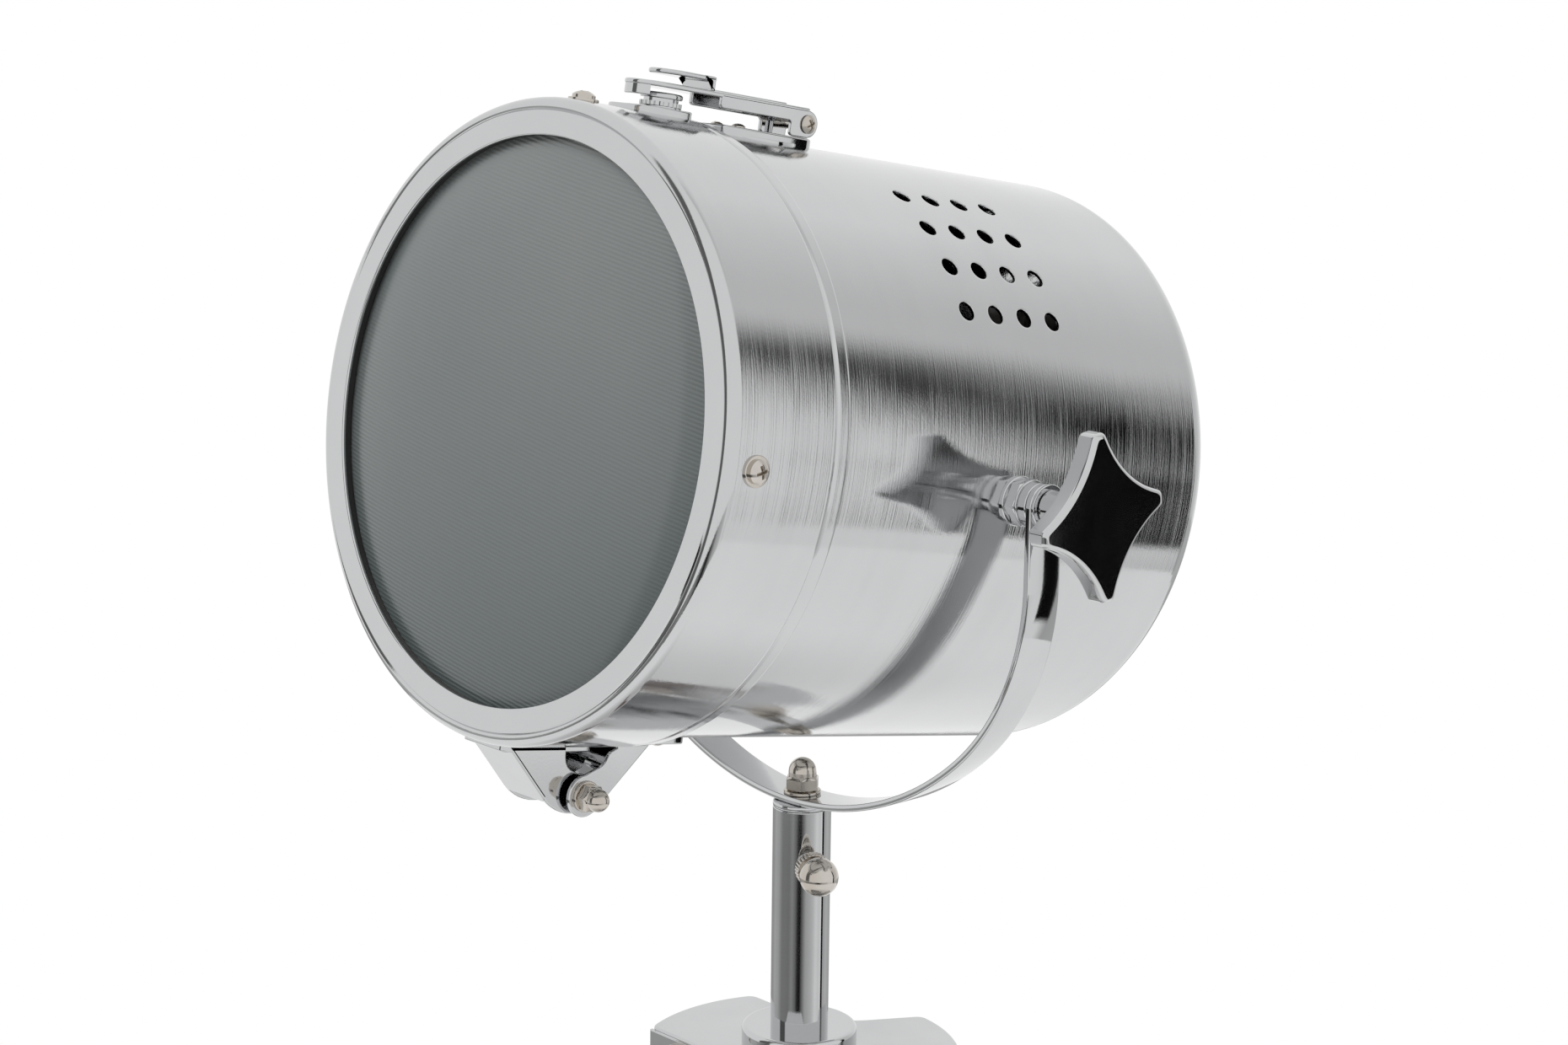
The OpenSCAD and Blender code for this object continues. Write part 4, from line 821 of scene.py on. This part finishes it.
# a shape whose z runs out of the post at the thumb screw
def atThumb(v):
    return onPost(turned(post["thumbAngle"])(laid((2, 1, 0), (1, 1, -1))(v)) + np.array([0, 0, post["thumbZ"]]))


thumb = {"shank": 3.0, "collar": 7.5, "from": 16.8, "to": 21.8, "ball": 8.25, "ballAt": 29.05, "teeth": 30,
         "tooth": 0.55, "start": 11.3, "neck": 4.2, "boss": (3.05, 5.5, 11.5, 16.5)}
knurl = lambda a: thumb["collar"] - thumb["tooth"] * (0.5 + 0.5 * np.cos(thumb["teeth"] * a)) ** 2
ballStart = math.degrees(math.asin(thumb["neck"] / thumb["ball"])) - 90
thumbProfile = np.vstack([[(0, thumb["start"]), (thumb["shank"], thumb["start"]), (thumb["shank"], thumb["to"] - 0.5)],
                          arc(0, thumb["ballAt"], thumb["ball"], ballStart, 90, 26)])
thumbCollar = barSection(0, thumb["collar"], thumb["from"], thumb["to"], 0.6)
addPiece("thumbScrew", "nickel",
         [applied(lathe(thumbProfile, 96), atThumb), applied(lathe(thumbCollar, 240, False, knurl), atThumb)])
addPiece("thumbBoss", "chrome", [applied(washer(*thumb["boss"], 0.5), atThumb)])

capNut = {"across": 13.0, "high": 14.0, "at": place["yokeZ"] + 4.6,
          "washer": (4.1, 8.0, place["yokeZ"] + 3.1, place["yokeZ"] + 4.6)}
addPiece("yokeCapNut", "nickel",
         [applied(domeNut(capNut["across"], capNut["high"]), turned(12), moved(0, 0, capNut["at"]), onPost)])
addPiece("yokeWasher", "nickel", [applied(washer(*capNut["washer"], 0.5), onPost)])

hub = {"lobeWidth": 60.0, "lobeEnd": 70.0, "fillet": 38.0, "low": place["hubZ"] - 2.5, "top": place["hubZ"],
       "soft": 0.9, "corner": 5.0, "boltR": 48.0, "boltZ": place["hubZ"] - 12, "tabLong": 34.0, "tabAt": (28.0, 30.0)}


# lobed outline: each lobe's straight sides and round end, with a fillet arc into the next lobe
def hubOutline():
    w, far, f = hub["lobeWidth"] / 2, hub["lobeEnd"], hub["fillet"]
    corner = w / math.sin(math.radians(60))
    centre = corner + f / math.sin(math.radians(60))
    tangent = corner * 0.5 + f / math.tan(math.radians(60))
    end = math.degrees(math.asin((w - hub["corner"]) / (far - hub["corner"])))
    inX = (far - hub["corner"]) * math.cos(math.radians(end))
    lobe = np.vstack([[(tangent, -w)], arc(inX, -w + hub["corner"], hub["corner"], -90, -end, 6),
                      arc(0, 0, far, -end, end, 24), arc(inX, w - hub["corner"], hub["corner"], end, 90, 6),
                      [(tangent, w)]])
    cx, cy = centre * 0.5, centre * math.sin(math.radians(60))
    fillet = arc(cx, cy, f, 270, 210, 20)[1:-1]
    part = np.vstack([lobe, fillet])
    rot = [turned(a)(np.c_[part, np.zeros(len(part))])[:, :2] for a in (-60, 60, 180)]
    return np.vstack(rot)


hubShapes = [applied(stack(hubOutline(), softRows(hub["low"], hub["top"], hub["soft"])), onPost)]
half = hub["tabLong"] / 2
tabOutline = np.vstack([arc(0, -2, half, 180, 360, 32), [(half, 10.0), (-half, 10.0)]])
for i in range(3):
    for side in (1, -1):
        tab = stack(tabOutline, softRows(*hub["tabAt"], 0.5))
        hubShapes.append(applied(tab, laid((0, 2, 1), (1, side, 1), (hub["boltR"], 0, hub["boltZ"])), inLobe(i)))
addPiece("hubPlate", "chrome", hubShapes)

legBolt = {"out": 30.0, "shank": 4.0, "long": 67.0, "washer": (7.6, 0.0, 1.4, 0.35), "head": (6.4, 5.5),
           "nut": (13.0, 13.0)}
legBolts, legNuts = [], []
for i in range(3):
    head, tail = [laid((0, 2, 1), (1, k, 1), (hub["boltR"], k * legBolt["out"], hub["boltZ"])) for k in (-1, 1)]
    legBolts += [applied(washer(2.0, *legBolt["washer"]), head, inLobe(i)),
                 applied(crossHead(*legBolt["head"]), turned(25), head, inLobe(i)),
                 applied(rod(legBolt["shank"], -legBolt["long"], 0.5), head, inLobe(i))]
    legNuts += [applied(washer(legBolt["shank"], *legBolt["washer"]), tail, inLobe(i)),
                applied(domeNut(*legBolt["nut"]), moved(0, 0, legBolt["washer"][2]), tail, inLobe(i))]
addPiece("legBolts", "nickel", legBolts)
addPiece("legBoltNuts", "nickel", legNuts)
print("post and hub made")

leg = {"footCircle": 340.0, "footHigh": 14.0, "thick": 22.0, "top": 44.0, "foot": 28.0, "soft": 4.0,
       "socketTop": 14.0, "socketLong": 56.0, "eye": 9.0, "eyeHalf": 27.7}
leg["splay"] = math.degrees(math.atan2(leg["footCircle"] - hub["boltR"], hub["boltZ"] - leg["footHigh"]))


# leg: a round-cornered section carried down the leg frame, narrowing to the foot and cut level there
def legShape():
    run = (hub["boltZ"] - leg["footHigh"]) / math.cos(math.radians(leg["splay"]))
    start = -leg["socketTop"] - leg["socketLong"]
    z = np.concatenate([[-18.0, start + 0.5], np.linspace(start, -run, 40)])
    taper = np.clip((z - start) / (-run - 30 - start), 0, 1)
    w = leg["top"] + (leg["foot"] - leg["top"]) * taper
    f, t = leg["soft"], leg["thick"] / 2
    base = np.vstack([arc(cx, 0, f, a, a + 90, 8) for cx, a in ((t - f, -90), (t - f, 0), (f - t, 90), (f - t, 180))])
    sign = np.repeat([-1, 1, 1, -1], 9)
    x = np.repeat(base[None, :, 0], len(z), 0)
    y = base[None, :, 1] + sign[None] * (w / 2 - f)[:, None]
    down = np.repeat(z[:, None], x.shape[1], 1)
    a = math.radians(leg["splay"])
    down[-1] = (leg["footHigh"] - hub["boltZ"] - x[-1] * math.sin(a)) / math.cos(a)
    x[:2], y[:2] = x[:2] * 0.985, y[:2] * 0.985
    v = np.stack([x, y, down], -1)
    n = v.shape[1]
    girth = np.concatenate([[0], np.cumsum(np.linalg.norm(np.diff(v[10, :, :2], axis=0), axis=1))]) / 1000
    uv = np.stack([np.repeat(girth[None], len(z), 0), down / 1000], -1).reshape(-1, 2)
    caps = [k[::-1] for k in lids(len(z), n)]
    quads = gridQuads(len(z), n, False, True)[:, ::-1]
    return {"v": v.reshape(-1, 3), "q": quads, "t": np.zeros((0, 3), int), "n": caps}, uv


# socket: a tube and a heel on the leg bolt, a neck, and a sleeve round the top of the leg
def socketShapes(i):
    w, t = leg["top"] / 2, leg["thick"] / 2
    eye = washer(4.05, leg["eye"], -leg["eyeHalf"], leg["eyeHalf"], 0.9, 96)
    heelOutline = rounded([(0, -1), (10, -1), (10, 9.2), (0, 9.2)], 0.8)
    heel = stack(heelOutline, softRows(-leg["eyeHalf"], leg["eyeHalf"], 0.8))
    neck = stack(boxOutline(9, -w, w, 2.0), softRows(-16, 0, 0.6))
    low, high = -leg["socketTop"] - leg["socketLong"], -leg["socketTop"]
    sleeve = stack(boxOutline(t + 2, -w - 2, w + 2, 3.5), softRows(low, high, 0.9))
    seat = lambda v: inLobe(i)(v + np.array([hub["boltR"], 0, hub["boltZ"]]))
    return [applied(eye, laid((0, 2, 1)), seat), applied(heel, laid((0, 2, 1)), seat),
            applied(neck, inLeg(i)), applied(sleeve, inLeg(i))]


foot = {"radius": 19.0, "base": 17.6, "groove": 18.4, "soft": 3.0, "high": leg["footHigh"]}
far, groove = foot["radius"], foot["groove"]
footProfile = np.vstack([[(0, 0), (foot["base"], 0), (far, 1.4), (far, 4.4), (groove, 4.8), (groove, 5.6), (far, 6.0)],
                         arc(far - foot["soft"], foot["high"] - foot["soft"], foot["soft"], 0, 90, 8),
                         [(0, foot["high"])]])
for i in range(3):
    shape, grain = legShape()
    addPiece(f"legWood{i + 1}", "wood", [applied(shape, inLeg(i))], uv=grain, node=f"leg_{i + 1}")
    addPiece(f"legSocket{i + 1}", "chrome", socketShapes(i))
    addPiece(f"foot{i + 1}", "rubber",
             [applied(lathe(footProfile, 96), moved(leg["footCircle"], 0, 0), inLobe(i))])
print("legs made")

latch = {"pivotU": 130.5, "pivotS": 35.0, "half": 10.0, "top": 137.0, "nose": 120.0, "noseLow": 131.2, "eye": 5.5,
         "tabS": 86.0, "tabHalf": 9.0, "tabHigh": 142.6, "tabLong": 16.0, "catchS": 105.4, "neck": 6.9, "head": 8.4,
         "boltOut": 10.3, "baseHalf": 11.6, "baseLong": 46.0, "flangeHalf": 18.0, "flangeTurn": 7.5}
flatOn = laid((0, 2, 1))


# a plate drawn in (length, height) on both sides of the middle
def pair(outline, a, b, soft=0.5):
    return [applied(stack(outline, softRows(a, b, soft)), laid((2, 1, 0), (side, 1, 1)), inHead) for side in (1, -1)]


# a plate drawn in (across, length), its thickness upwards
def flat(outline, a, b, soft):
    return applied(stack(outline, softRows(a, b, soft)), flatOn, inHead)


# base: a flange that follows the drum, a box with rounded corners, and two cheeks for the pivot inside the lever
def latchBaseShapes():
    p, s = latch["pivotU"], latch["pivotS"]
    t = np.linspace(-1, 1, 25)
    angle = np.radians(90 + latch["flangeTurn"] * t)
    reach = latch["flangeHalf"] * np.sqrt(1 - np.abs(t) ** 3.2)
    mid = s + 21
    ringUp = np.stack([np.cos(angle), np.sin(angle)], 1)
    rows = [np.stack([r * ringUp[:, 0], r * ringUp[:, 1], mid + k * reach], 1)
            for r, k in ((121.2, 1.0), (122.1, 1.0), (122.5, 0.96), (122.5, -0.96), (122.1, -1.0), (121.2, -1.0))]
    flange = welded(np.stack(rows, 1).reshape(-1, 3), gridQuads(25, 6, False, True))
    box = boxOutline(latch["baseHalf"], s - 4, s + latch["baseLong"], [5, 5, 2, 2])
    cheek = np.vstack([[(s - 3, p - 2.9), (s - 3, 121.0), (s + 5, 121.0), (s + 5, p)], arc(s, p, 4.2, 0, 224, 24)])
    return [applied(flange, inHead), flat(box, 119.8, 124.7, 0.9)] + pair(cheek, 5.7, 7.7)


# lever: a channel with a deep round end at the pivot, a flat tongue with a round tip and a nose under the tip
def latchLeverShapes():
    h, t, p, s = latch["half"], latch["top"], latch["pivotU"], latch["pivotS"]
    wall = np.vstack([arc(s, p, latch["eye"], 110, 270, 20), arc(s + 7.5, p - 4.0, 1.5, 270, 360, 5),
                      arc(s + 10.5, t - 7.5, 1.5, 180, 90, 5), arc(s + 46.1, t - 4.5, 1.5, 270, 360, 5),
                      [(s + 47.6, t - 0.6), (s + 0.5, t - 0.6)]])
    tip = latch["nose"] - h + 2
    tongue = np.vstack([[(-h, s), (h, s)], arc(0, tip, h, 0, 180, 36)])
    rib = np.vstack([[(-4.5, s + 8), (4.5, s + 8)], arc(0, s + 44, 4.5, 0, 180, 20)])
    nose = np.vstack([arc(0, tip, h - 0.3, 38, 142, 24), arc(0, tip, h - 2.2, 142, 38, 24)])
    return [flat(tongue, t - 2, t, 0.7), flat(rib, t - 0.4, t + 0.9, 0.6),
            flat(nose, latch["noseLow"], t - 0.8, 0.5)] + pair(wall, h - 2, h)


addPiece("latchBase", "chrome", latchBaseShapes())
addPiece("latchLever", "chrome", latchLeverShapes())
tabS, tabR, tabTop = latch["tabS"], latch["tabHalf"], latch["tabHigh"]
leaf = np.vstack([[(-tabR, tabS), (tabR, tabS)], arc(0, tabS + latch["tabLong"], tabR, 0, 180, 32)])
riser = rounded([(tabS, latch["top"]), (tabS, tabTop), (tabS + 6, tabTop), (tabS + 6, tabTop - 1.7),
                 (tabS + 2, tabTop - 1.7), (tabS + 2, latch["top"])], [0.1, 1.6, 0.1, 0.1, 0.8, 0.1])
addPiece("latchTab", "chrome", [flat(leaf, tabTop - 2, tabTop, 0.8),
                                applied(stack(riser, softRows(-tabR, tabR, 0.4)), laid((2, 1, 0)), inHead)])
boltAt = (latch["pivotU"], latch["pivotS"])
addPiece("latchPivotBolt", "nickel",
         [applied(crossHead(*screws["pivot"]), turned(30),
                  laid((2, 1, 0), (1, 1, -1), (latch["boltOut"], *boltAt)), inHead),
          applied(rod(2.5, -13, 11), laid((2, 1, 0), (1, 1, -1), (0, *boltAt)), inHead),
          applied(lathe([(0, 0), (3.9, 0), (4.6, 0.5), (4.6, 3.4), (3.9, 4), (0, 4)], 96, False, sixFlats(8)),
                  laid((2, 1, 0), (-1, 1, 1), (-latch["boltOut"], *boltAt)), inHead)])
catchFoot = flat(boxOutline(15, 100, 124, [3, 3, 9, 9]), 123.3, 127, 0.7)
neck, far = latch["neck"], latch["head"]
catchNeck = np.vstack([[(0, 124), (far, 124), (far, 127.6)], arc(far - 0.4, 127.6, 0.4, 0, 90, 3),
                       [(neck, 128.0), (neck, 130.9)], arc(far - 0.5, 131.4, 0.5, -90, 0, 4),
                       arc(far - 0.9, 132.3, 0.9, 0, 90, 6), [(0, 133.2)]])
teeth = lambda a: far - 0.5 * (0.5 + 0.5 * np.cos(24 * a)) ** 2
catchTeeth = [(0, 128.0), (far, 128.0), (far, 129.6), (0, 129.6)]
standing = laid((0, 2, 1), (1, 1, 1), (0, 0, latch["catchS"]))
addPiece("latchCatch", "chrome",
         [catchFoot, applied(lathe(catchNeck, 96), standing, inHead),
          applied(lathe(catchTeeth, 240, False, teeth), standing, inHead)])
print("latch made")

hinge = {"pinU": -144.0, "pinS": 110.0, "doorEye": (8.0, 82, 272, 32), "drumEye": (8.5, 226, 442, 36)}
pinAt = (0, hinge["pinU"], hinge["pinS"])
doorHollow = [(119.3, -124.0), (119.2, -127.0), (119.0, -129.1), (118.4, -131.2), (117.3, -132.9), (115.7, -134.1),
              (113.7, -134.9)]
doorHeel = [(114.6, -151.9), (117.4, -151.4), (119.8, -150.7), (122.2, -149.6), (124.2, -148.5), (125.6, -147.4)]
doorEye, drumEye = [arc(hinge["pinS"], hinge["pinU"], *k) for k in (hinge["doorEye"], hinge["drumEye"])]
doorEar = np.vstack([[(149.3, -124.0)], doorHollow, doorEye, doorHeel])
drumHollow = [(108.6, -134.3), (106.6, -133.4), (104.7, -132.6), (103.1, -131.6), (101.9, -130.3), (101.1, -128.8),
              (100.6, -127.2), (99.5, -126.2), (98.0, -125.4), (96.4, -124.8)]
drumEar = np.vstack([[(96.4, -119.9), (77.0, -119.9)], drumEye, drumHollow])


# flat web between two ears: starts at a height and length, runs along a direction, its thickness square to both
def inWeb(u, s, du, ds):
    d = np.array([0, du, ds]) / math.hypot(du, ds)
    n = np.array([0, d[2], -d[1]])
    axes = np.stack([[1, 0, 0], d, n])
    return lambda v: inHead(np.array([0, u, s]) + v @ axes)


doorWeb = stack(boxOutline(13, -1, 33.5, [0.5, 0.5, 3, 3], 10), softRows(-2.0, 0.0, 0.8))
drumWeb = stack(boxOutline(16.3, 0, 31, 0.5), softRows(0.6, 2.6, 0.5))
# of each leaf: its foot and the foot's levels, the web and where it starts and runs, the ear and its distances out
leaves = {"hingeDoorLeaf": ((13, 106, 151.2), (-127, -123.6), doorWeb, (-124.0, 149.3, -1, -1), doorEar, (11, 13)),
          "hingeDrumLeaf": ((17.3, 61.6, 96.6), (-123.5, -119.6), drumWeb, (-119.5, 76.6, -29.77, 27.79), drumEar,
                            (15.3, 17.3))}
for name, (base, level, web, start, ear, out) in leaves.items():
    shapes = [flat(boxOutline(*base, 2.5), *level, 0.7), applied(web, inWeb(*start))]
    addPiece(name, "chrome", shapes + pair(ear, *out, 0.6))
pinRight, pinLeft = laid((2, 1, 0), (1, 1, -1), pinAt), laid((2, 1, 0), (-1, 1, 1), pinAt)
pinHead = [(0, 18.4), (4.9, 18.4), (5.75, 18.9), (5.75, 21.6), (4.9, 22.3), (0, 22.3)]
addPiece("hingePinBolt", "nickel",
         [applied(rod(3.0, -18.3, 23.3), pinRight, inHead),
          applied(washer(2.0, 6.0, 17.3, 18.5, 0.3), pinLeft, inHead),
          applied(lathe(pinHead, 96, False, sixFlats(10)), pinLeft, inHead)])
addPiece("hingeNut", "nickel",
         [applied(washer(3.0, 6.3, 17.3, 18.5, 0.3), pinRight, inHead),
          applied(domeNut(10.0, 11.0), laid((2, 1, 0), (1, 1, -1), (18.5, *pinAt[1:])), inHead)])
print("hinge made")

gland = {"drop": -62.0, "face": -116.0, "bore": 3.75}
bore = gland["bore"]
glandProfile = rounded([(bore, -14), (8, -14), (8, -4), (11.55, -4), (11.55, 0), (8, 0), (8, 9.5), (bore, 9.5)],
                       [0.8, 1.6, 0.4, 0.6, 0.4, 0.1, 0.5, 0.5], 4)
addPiece("cableGland", "plastic",
         [applied(lathe(glandProfile, 96, True, sixFlats(20)), moved(0, gland["drop"], gland["face"]), inHead)])

kept = {"zinc": ("post_plug", "hub_bolt", "tilt_stud_right", "tilt_stud_left", "pivot_nuts", "lampholder_bracket",
                 "lens_clips"),
        "aluminium": ("reflector",), "glazed": ("lampholder_body", "lampholder_ring", "terminal_block"),
        "brass": ("bulb_cap",), "opal": ("bulb_glass",), "plastic": ("gland_nut",)}
for key, nodes in kept.items():
    for n in nodes:
        item = frame["nodes"][n]
        if not item.material_slots:
            item.data.materials.append(finish[key])
        for held in item.material_slots:
            held.material = finish[key]
shown = {n for p in made for n in p["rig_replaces"]} | {n for ns in kept.values() for n in ns}
print("pieces:", len(made), "without a finish:", sorted(set(frame["nodes"]) - shown))

floor = {"radius": 2.4, "level": -0.0004, "colour": 0.80, "seenGlow": (0.7, 2.2), "mirrorGlow": (0.25, 1.1)}


# floor: a round sheet under the feet, plain near the lamp and white towards its edge
def makeFloor():
    v = np.c_[arc(0, 0, floor["radius"], 0, 360, 128)[:-1], np.full(128, floor["level"])]
    mesh = bpy.data.meshes.new("floor")
    mesh.from_pydata(v.tolist(), [], [list(range(128))])
    sheet = bpy.data.objects.new("floor", mesh)
    scene.collection.objects.link(sheet)
    m = bpy.data.materials.new("paleFloor")
    t = emptied(m)
    far = addNode(t, "ShaderNodeVectorMath", {0: objectAt(t)}, operation="LENGTH").outputs["Value"]
    rays = addNode(t, "ShaderNodeLightPath")
    mirror = calc(t, "MAXIMUM", rays.outputs["Is Glossy Ray"], rays.outputs["Is Transmission Ray"])
    seen = calc(t, "MULTIPLY", rays.outputs["Is Camera Ray"], eased(t, far, *floor["seenGlow"]))
    white = calc(t, "MAXIMUM", seen, calc(t, "MULTIPLY", mirror, eased(t, far, *floor["mirrorGlow"])))
    matte = addNode(t, "ShaderNodeBsdfDiffuse", {"Color": (floor["colour"],) * 3 + (1,)})
    light = addNode(t, "ShaderNodeEmission", {"Color": (1, 1, 1, 1), "Strength": 1.0})
    both = addNode(t, "ShaderNodeMixShader", {0: white, 1: matte.outputs[0], 2: light.outputs[0]})
    addNode(t, "ShaderNodeOutputMaterial", {"Surface": both.outputs[0]})
    mesh.materials.append(m)


makeFloor()

# angles in degrees: azimuth from the x axis, elevation from level; ramp stops are (angle, brightness)
sky = {"fill": 0.42,
       "around": ((-180, 0.95), (42, 0.95), (56, 0.72), (67, 0.72), (78, 0.80), (100, 0.95), (180, 0.95)),
       "dark": (0.005, 0.06), "darkLevel": (6.0, 10.0), "left": (46.6, 2.0), "leftLevel": (-8.0, -3.0),
       "leftSoft": (0.5, 1.2), "softLevel": (5.0, 9.0), "right": (55.5, 57.4),
       "rightOpen": (-2.5, 3.6), "openLevel": (10.0, 14.0),
       "foot": (-25.5, -23.0), "top": (18.0, 30.0), "poleAt": (-128.0, -124.0, -104.0, -99.0),
       "poleLevel": (-16.0, -14.0, 50.0, 62.0), "poleDark": 0.85, "cardLevel": (-16.8, -15.8),
       "cards": ((-180, 0.40), (-164, 0.54), (-141, 0.47), (-122, 0.26), (-106, 0.25), (-91, 0.23), (-77, 0.32),
                 (-63, 0.17), (-55, 0.03), (-45, 0.01), (-36, 0.18), (-23, 0.48), (-9, 0.56), (5, 0.66), (20, 0.90),
                 (37, 0.80), (42, 0.93), (50, 0.93), (56, 0.50), (78, 0.62), (119, 0.40), (150, 0.35), (180, 0.40))}


# brightness read from a list of stops over the whole round
def byAngle(tree, value, stops):
    ramp = addNode(tree, "ShaderNodeValToRGB", {"Fac": calc(tree, "MULTIPLY_ADD", value, 1 / 360, 0.5)})
    for i, (angle, bright) in enumerate(stops):
        stop = ramp.color_ramp.elements[i] if i < 2 else ramp.color_ramp.elements.new(1.0)
        stop.position, stop.color = (angle + 180) / 360, (bright, bright, bright, 1)
    return addNode(tree, "ShaderNodeRGBToBW", {"Color": ramp.outputs["Color"]}).outputs[0]


# one inside the four limits (start, full, full, end) of a value, falling to nothing outside
def between(tree, value, a, b, c, d):
    return calc(tree, "MULTIPLY", eased(tree, value, a, b), eased(tree, value, c, d, 1.0, 0.0))


# world: white for the camera; reflections see a pale room with an upright dark board on the right that softens
# toward its top, a dark pole on the left, and a row of cards below the level of the floor's edge
def makeSky():
    world = bpy.data.worlds.new("studio")
    scene.world = world
    t = emptied(world)
    parts = addNode(t, "ShaderNodeSeparateXYZ", {"Vector": addNode(t, "ShaderNodeTexCoord").outputs["Generated"]})
    azimuth = calc(t, "MULTIPLY", calc(t, "ARCTAN2", parts.outputs["Y"], parts.outputs["X"]), 180 / math.pi)
    level = calc(t, "MULTIPLY", calc(t, "ARCSINE", parts.outputs["Z"]), 180 / math.pi)
    room = byAngle(t, azimuth, sky["around"])
    cards = byAngle(t, azimuth, sky["cards"])
    room = blended(t, eased(t, level, *sky["cardLevel"]), cards, room)
    left = calc(t, "MULTIPLY_ADD", eased(t, level, *sky["leftLevel"]), sky["left"][1], sky["left"][0])
    soft = calc(t, "MULTIPLY_ADD", eased(t, level, *sky["softLevel"]), sky["leftSoft"][1], sky["leftSoft"][0])
    opening = eased(t, level, *sky["openLevel"])
    right = [calc(t, "MULTIPLY_ADD", opening, k, a) for a, k in zip(sky["right"], sky["rightOpen"])]
    board = between(t, azimuth, calc(t, "SUBTRACT", left, soft), calc(t, "ADD", left, soft), *right)
    board = calc(t, "MULTIPLY", board, between(t, level, *sky["foot"], *sky["top"]))
    low, high = sky["dark"]
    room = blended(t, board, room, eased(t, level, *sky["darkLevel"], low, high))
    pole = calc(t, "MULTIPLY", between(t, azimuth, *sky["poleAt"]), between(t, level, *sky["poleLevel"]))
    room = blended(t, calc(t, "MULTIPLY", pole, sky["poleDark"]), room, low)
    rays = addNode(t, "ShaderNodeLightPath")
    glossy = calc(t, "MAXIMUM", rays.outputs["Is Glossy Ray"], rays.outputs["Is Transmission Ray"])
    final = blended(t, rays.outputs["Is Camera Ray"], blended(t, glossy, sky["fill"], room), 1.0)
    back = addNode(t, "ShaderNodeBackground", {"Color": (1, 1, 1, 1), "Strength": final})
    addNode(t, "ShaderNodeOutputWorld", {"Surface": back.outputs[0]})


makeSky()

lamps = {"key": ((-0.4, -2.2, 3.8), (0.085, 0, 1.2), 2.2, 70.0), "rim": ((2.6, 1.2, 2.8), (0.085, 0, 1.2), 1.6, 22.0)}
for name, (at, aim, size, power) in lamps.items():
    data = bpy.data.lights.new(name, "AREA")
    data.shape, data.size, data.energy = "SQUARE", size, power
    soft = bpy.data.objects.new(name, data)
    soft.location = at
    soft.visible_glossy = False  # the room alone shows in the chrome
    soft.rotation_mode = "QUATERNION"
    soft.rotation_quaternion = (Vector(aim) - Vector(at)).to_track_quat("-Z", "Y")
    scene.collection.objects.link(soft)

camera = {"azimuth": 47.458, "elevation": 11.915, "roll": 0.68, "distance": 1.322856, "focal": 3759.09,
          "aim": (0.085, 0, 1.34), "aimAt": (957.135, 528.173), "frame": (1860, 1240), "sensor": 36.0}


# camera: looks at the tilt axis from the photograph's side, and the axis falls on its own pixel of the frame
def makeCamera():
    a, e, r = (math.radians(camera[k]) for k in ("azimuth", "elevation", "roll"))
    back = np.array([math.sin(a) * math.cos(e), -math.cos(a) * math.cos(e), math.sin(e)])
    right = np.array([math.cos(a), math.sin(a), 0])
    up = np.cross(back, right)
    right, up = math.cos(r) * right + math.sin(r) * up, -math.sin(r) * right + math.cos(r) * up
    d, f = camera["distance"], camera["focal"]
    px, py = camera["aimAt"]
    wide, high = camera["frame"]
    at = np.array(camera["aim"]) + d * back - right * ((px - wide / 2) / f * d) + up * ((py - high / 2) / f * d)
    data = bpy.data.cameras.new("camera")
    data.sensor_width, data.lens = camera["sensor"], camera["sensor"] * f / wide
    data.clip_start, data.clip_end = 0.05, 60.0
    eye = bpy.data.objects.new("camera", data)
    eye.matrix_world = Matrix([[*row, p] for row, p in zip(np.stack([right, up, back], 1), at)] + [[0, 0, 0, 1]])
    scene.collection.objects.link(eye)
    scene.camera = eye


makeCamera()
scene.view_settings.view_transform = "Standard"
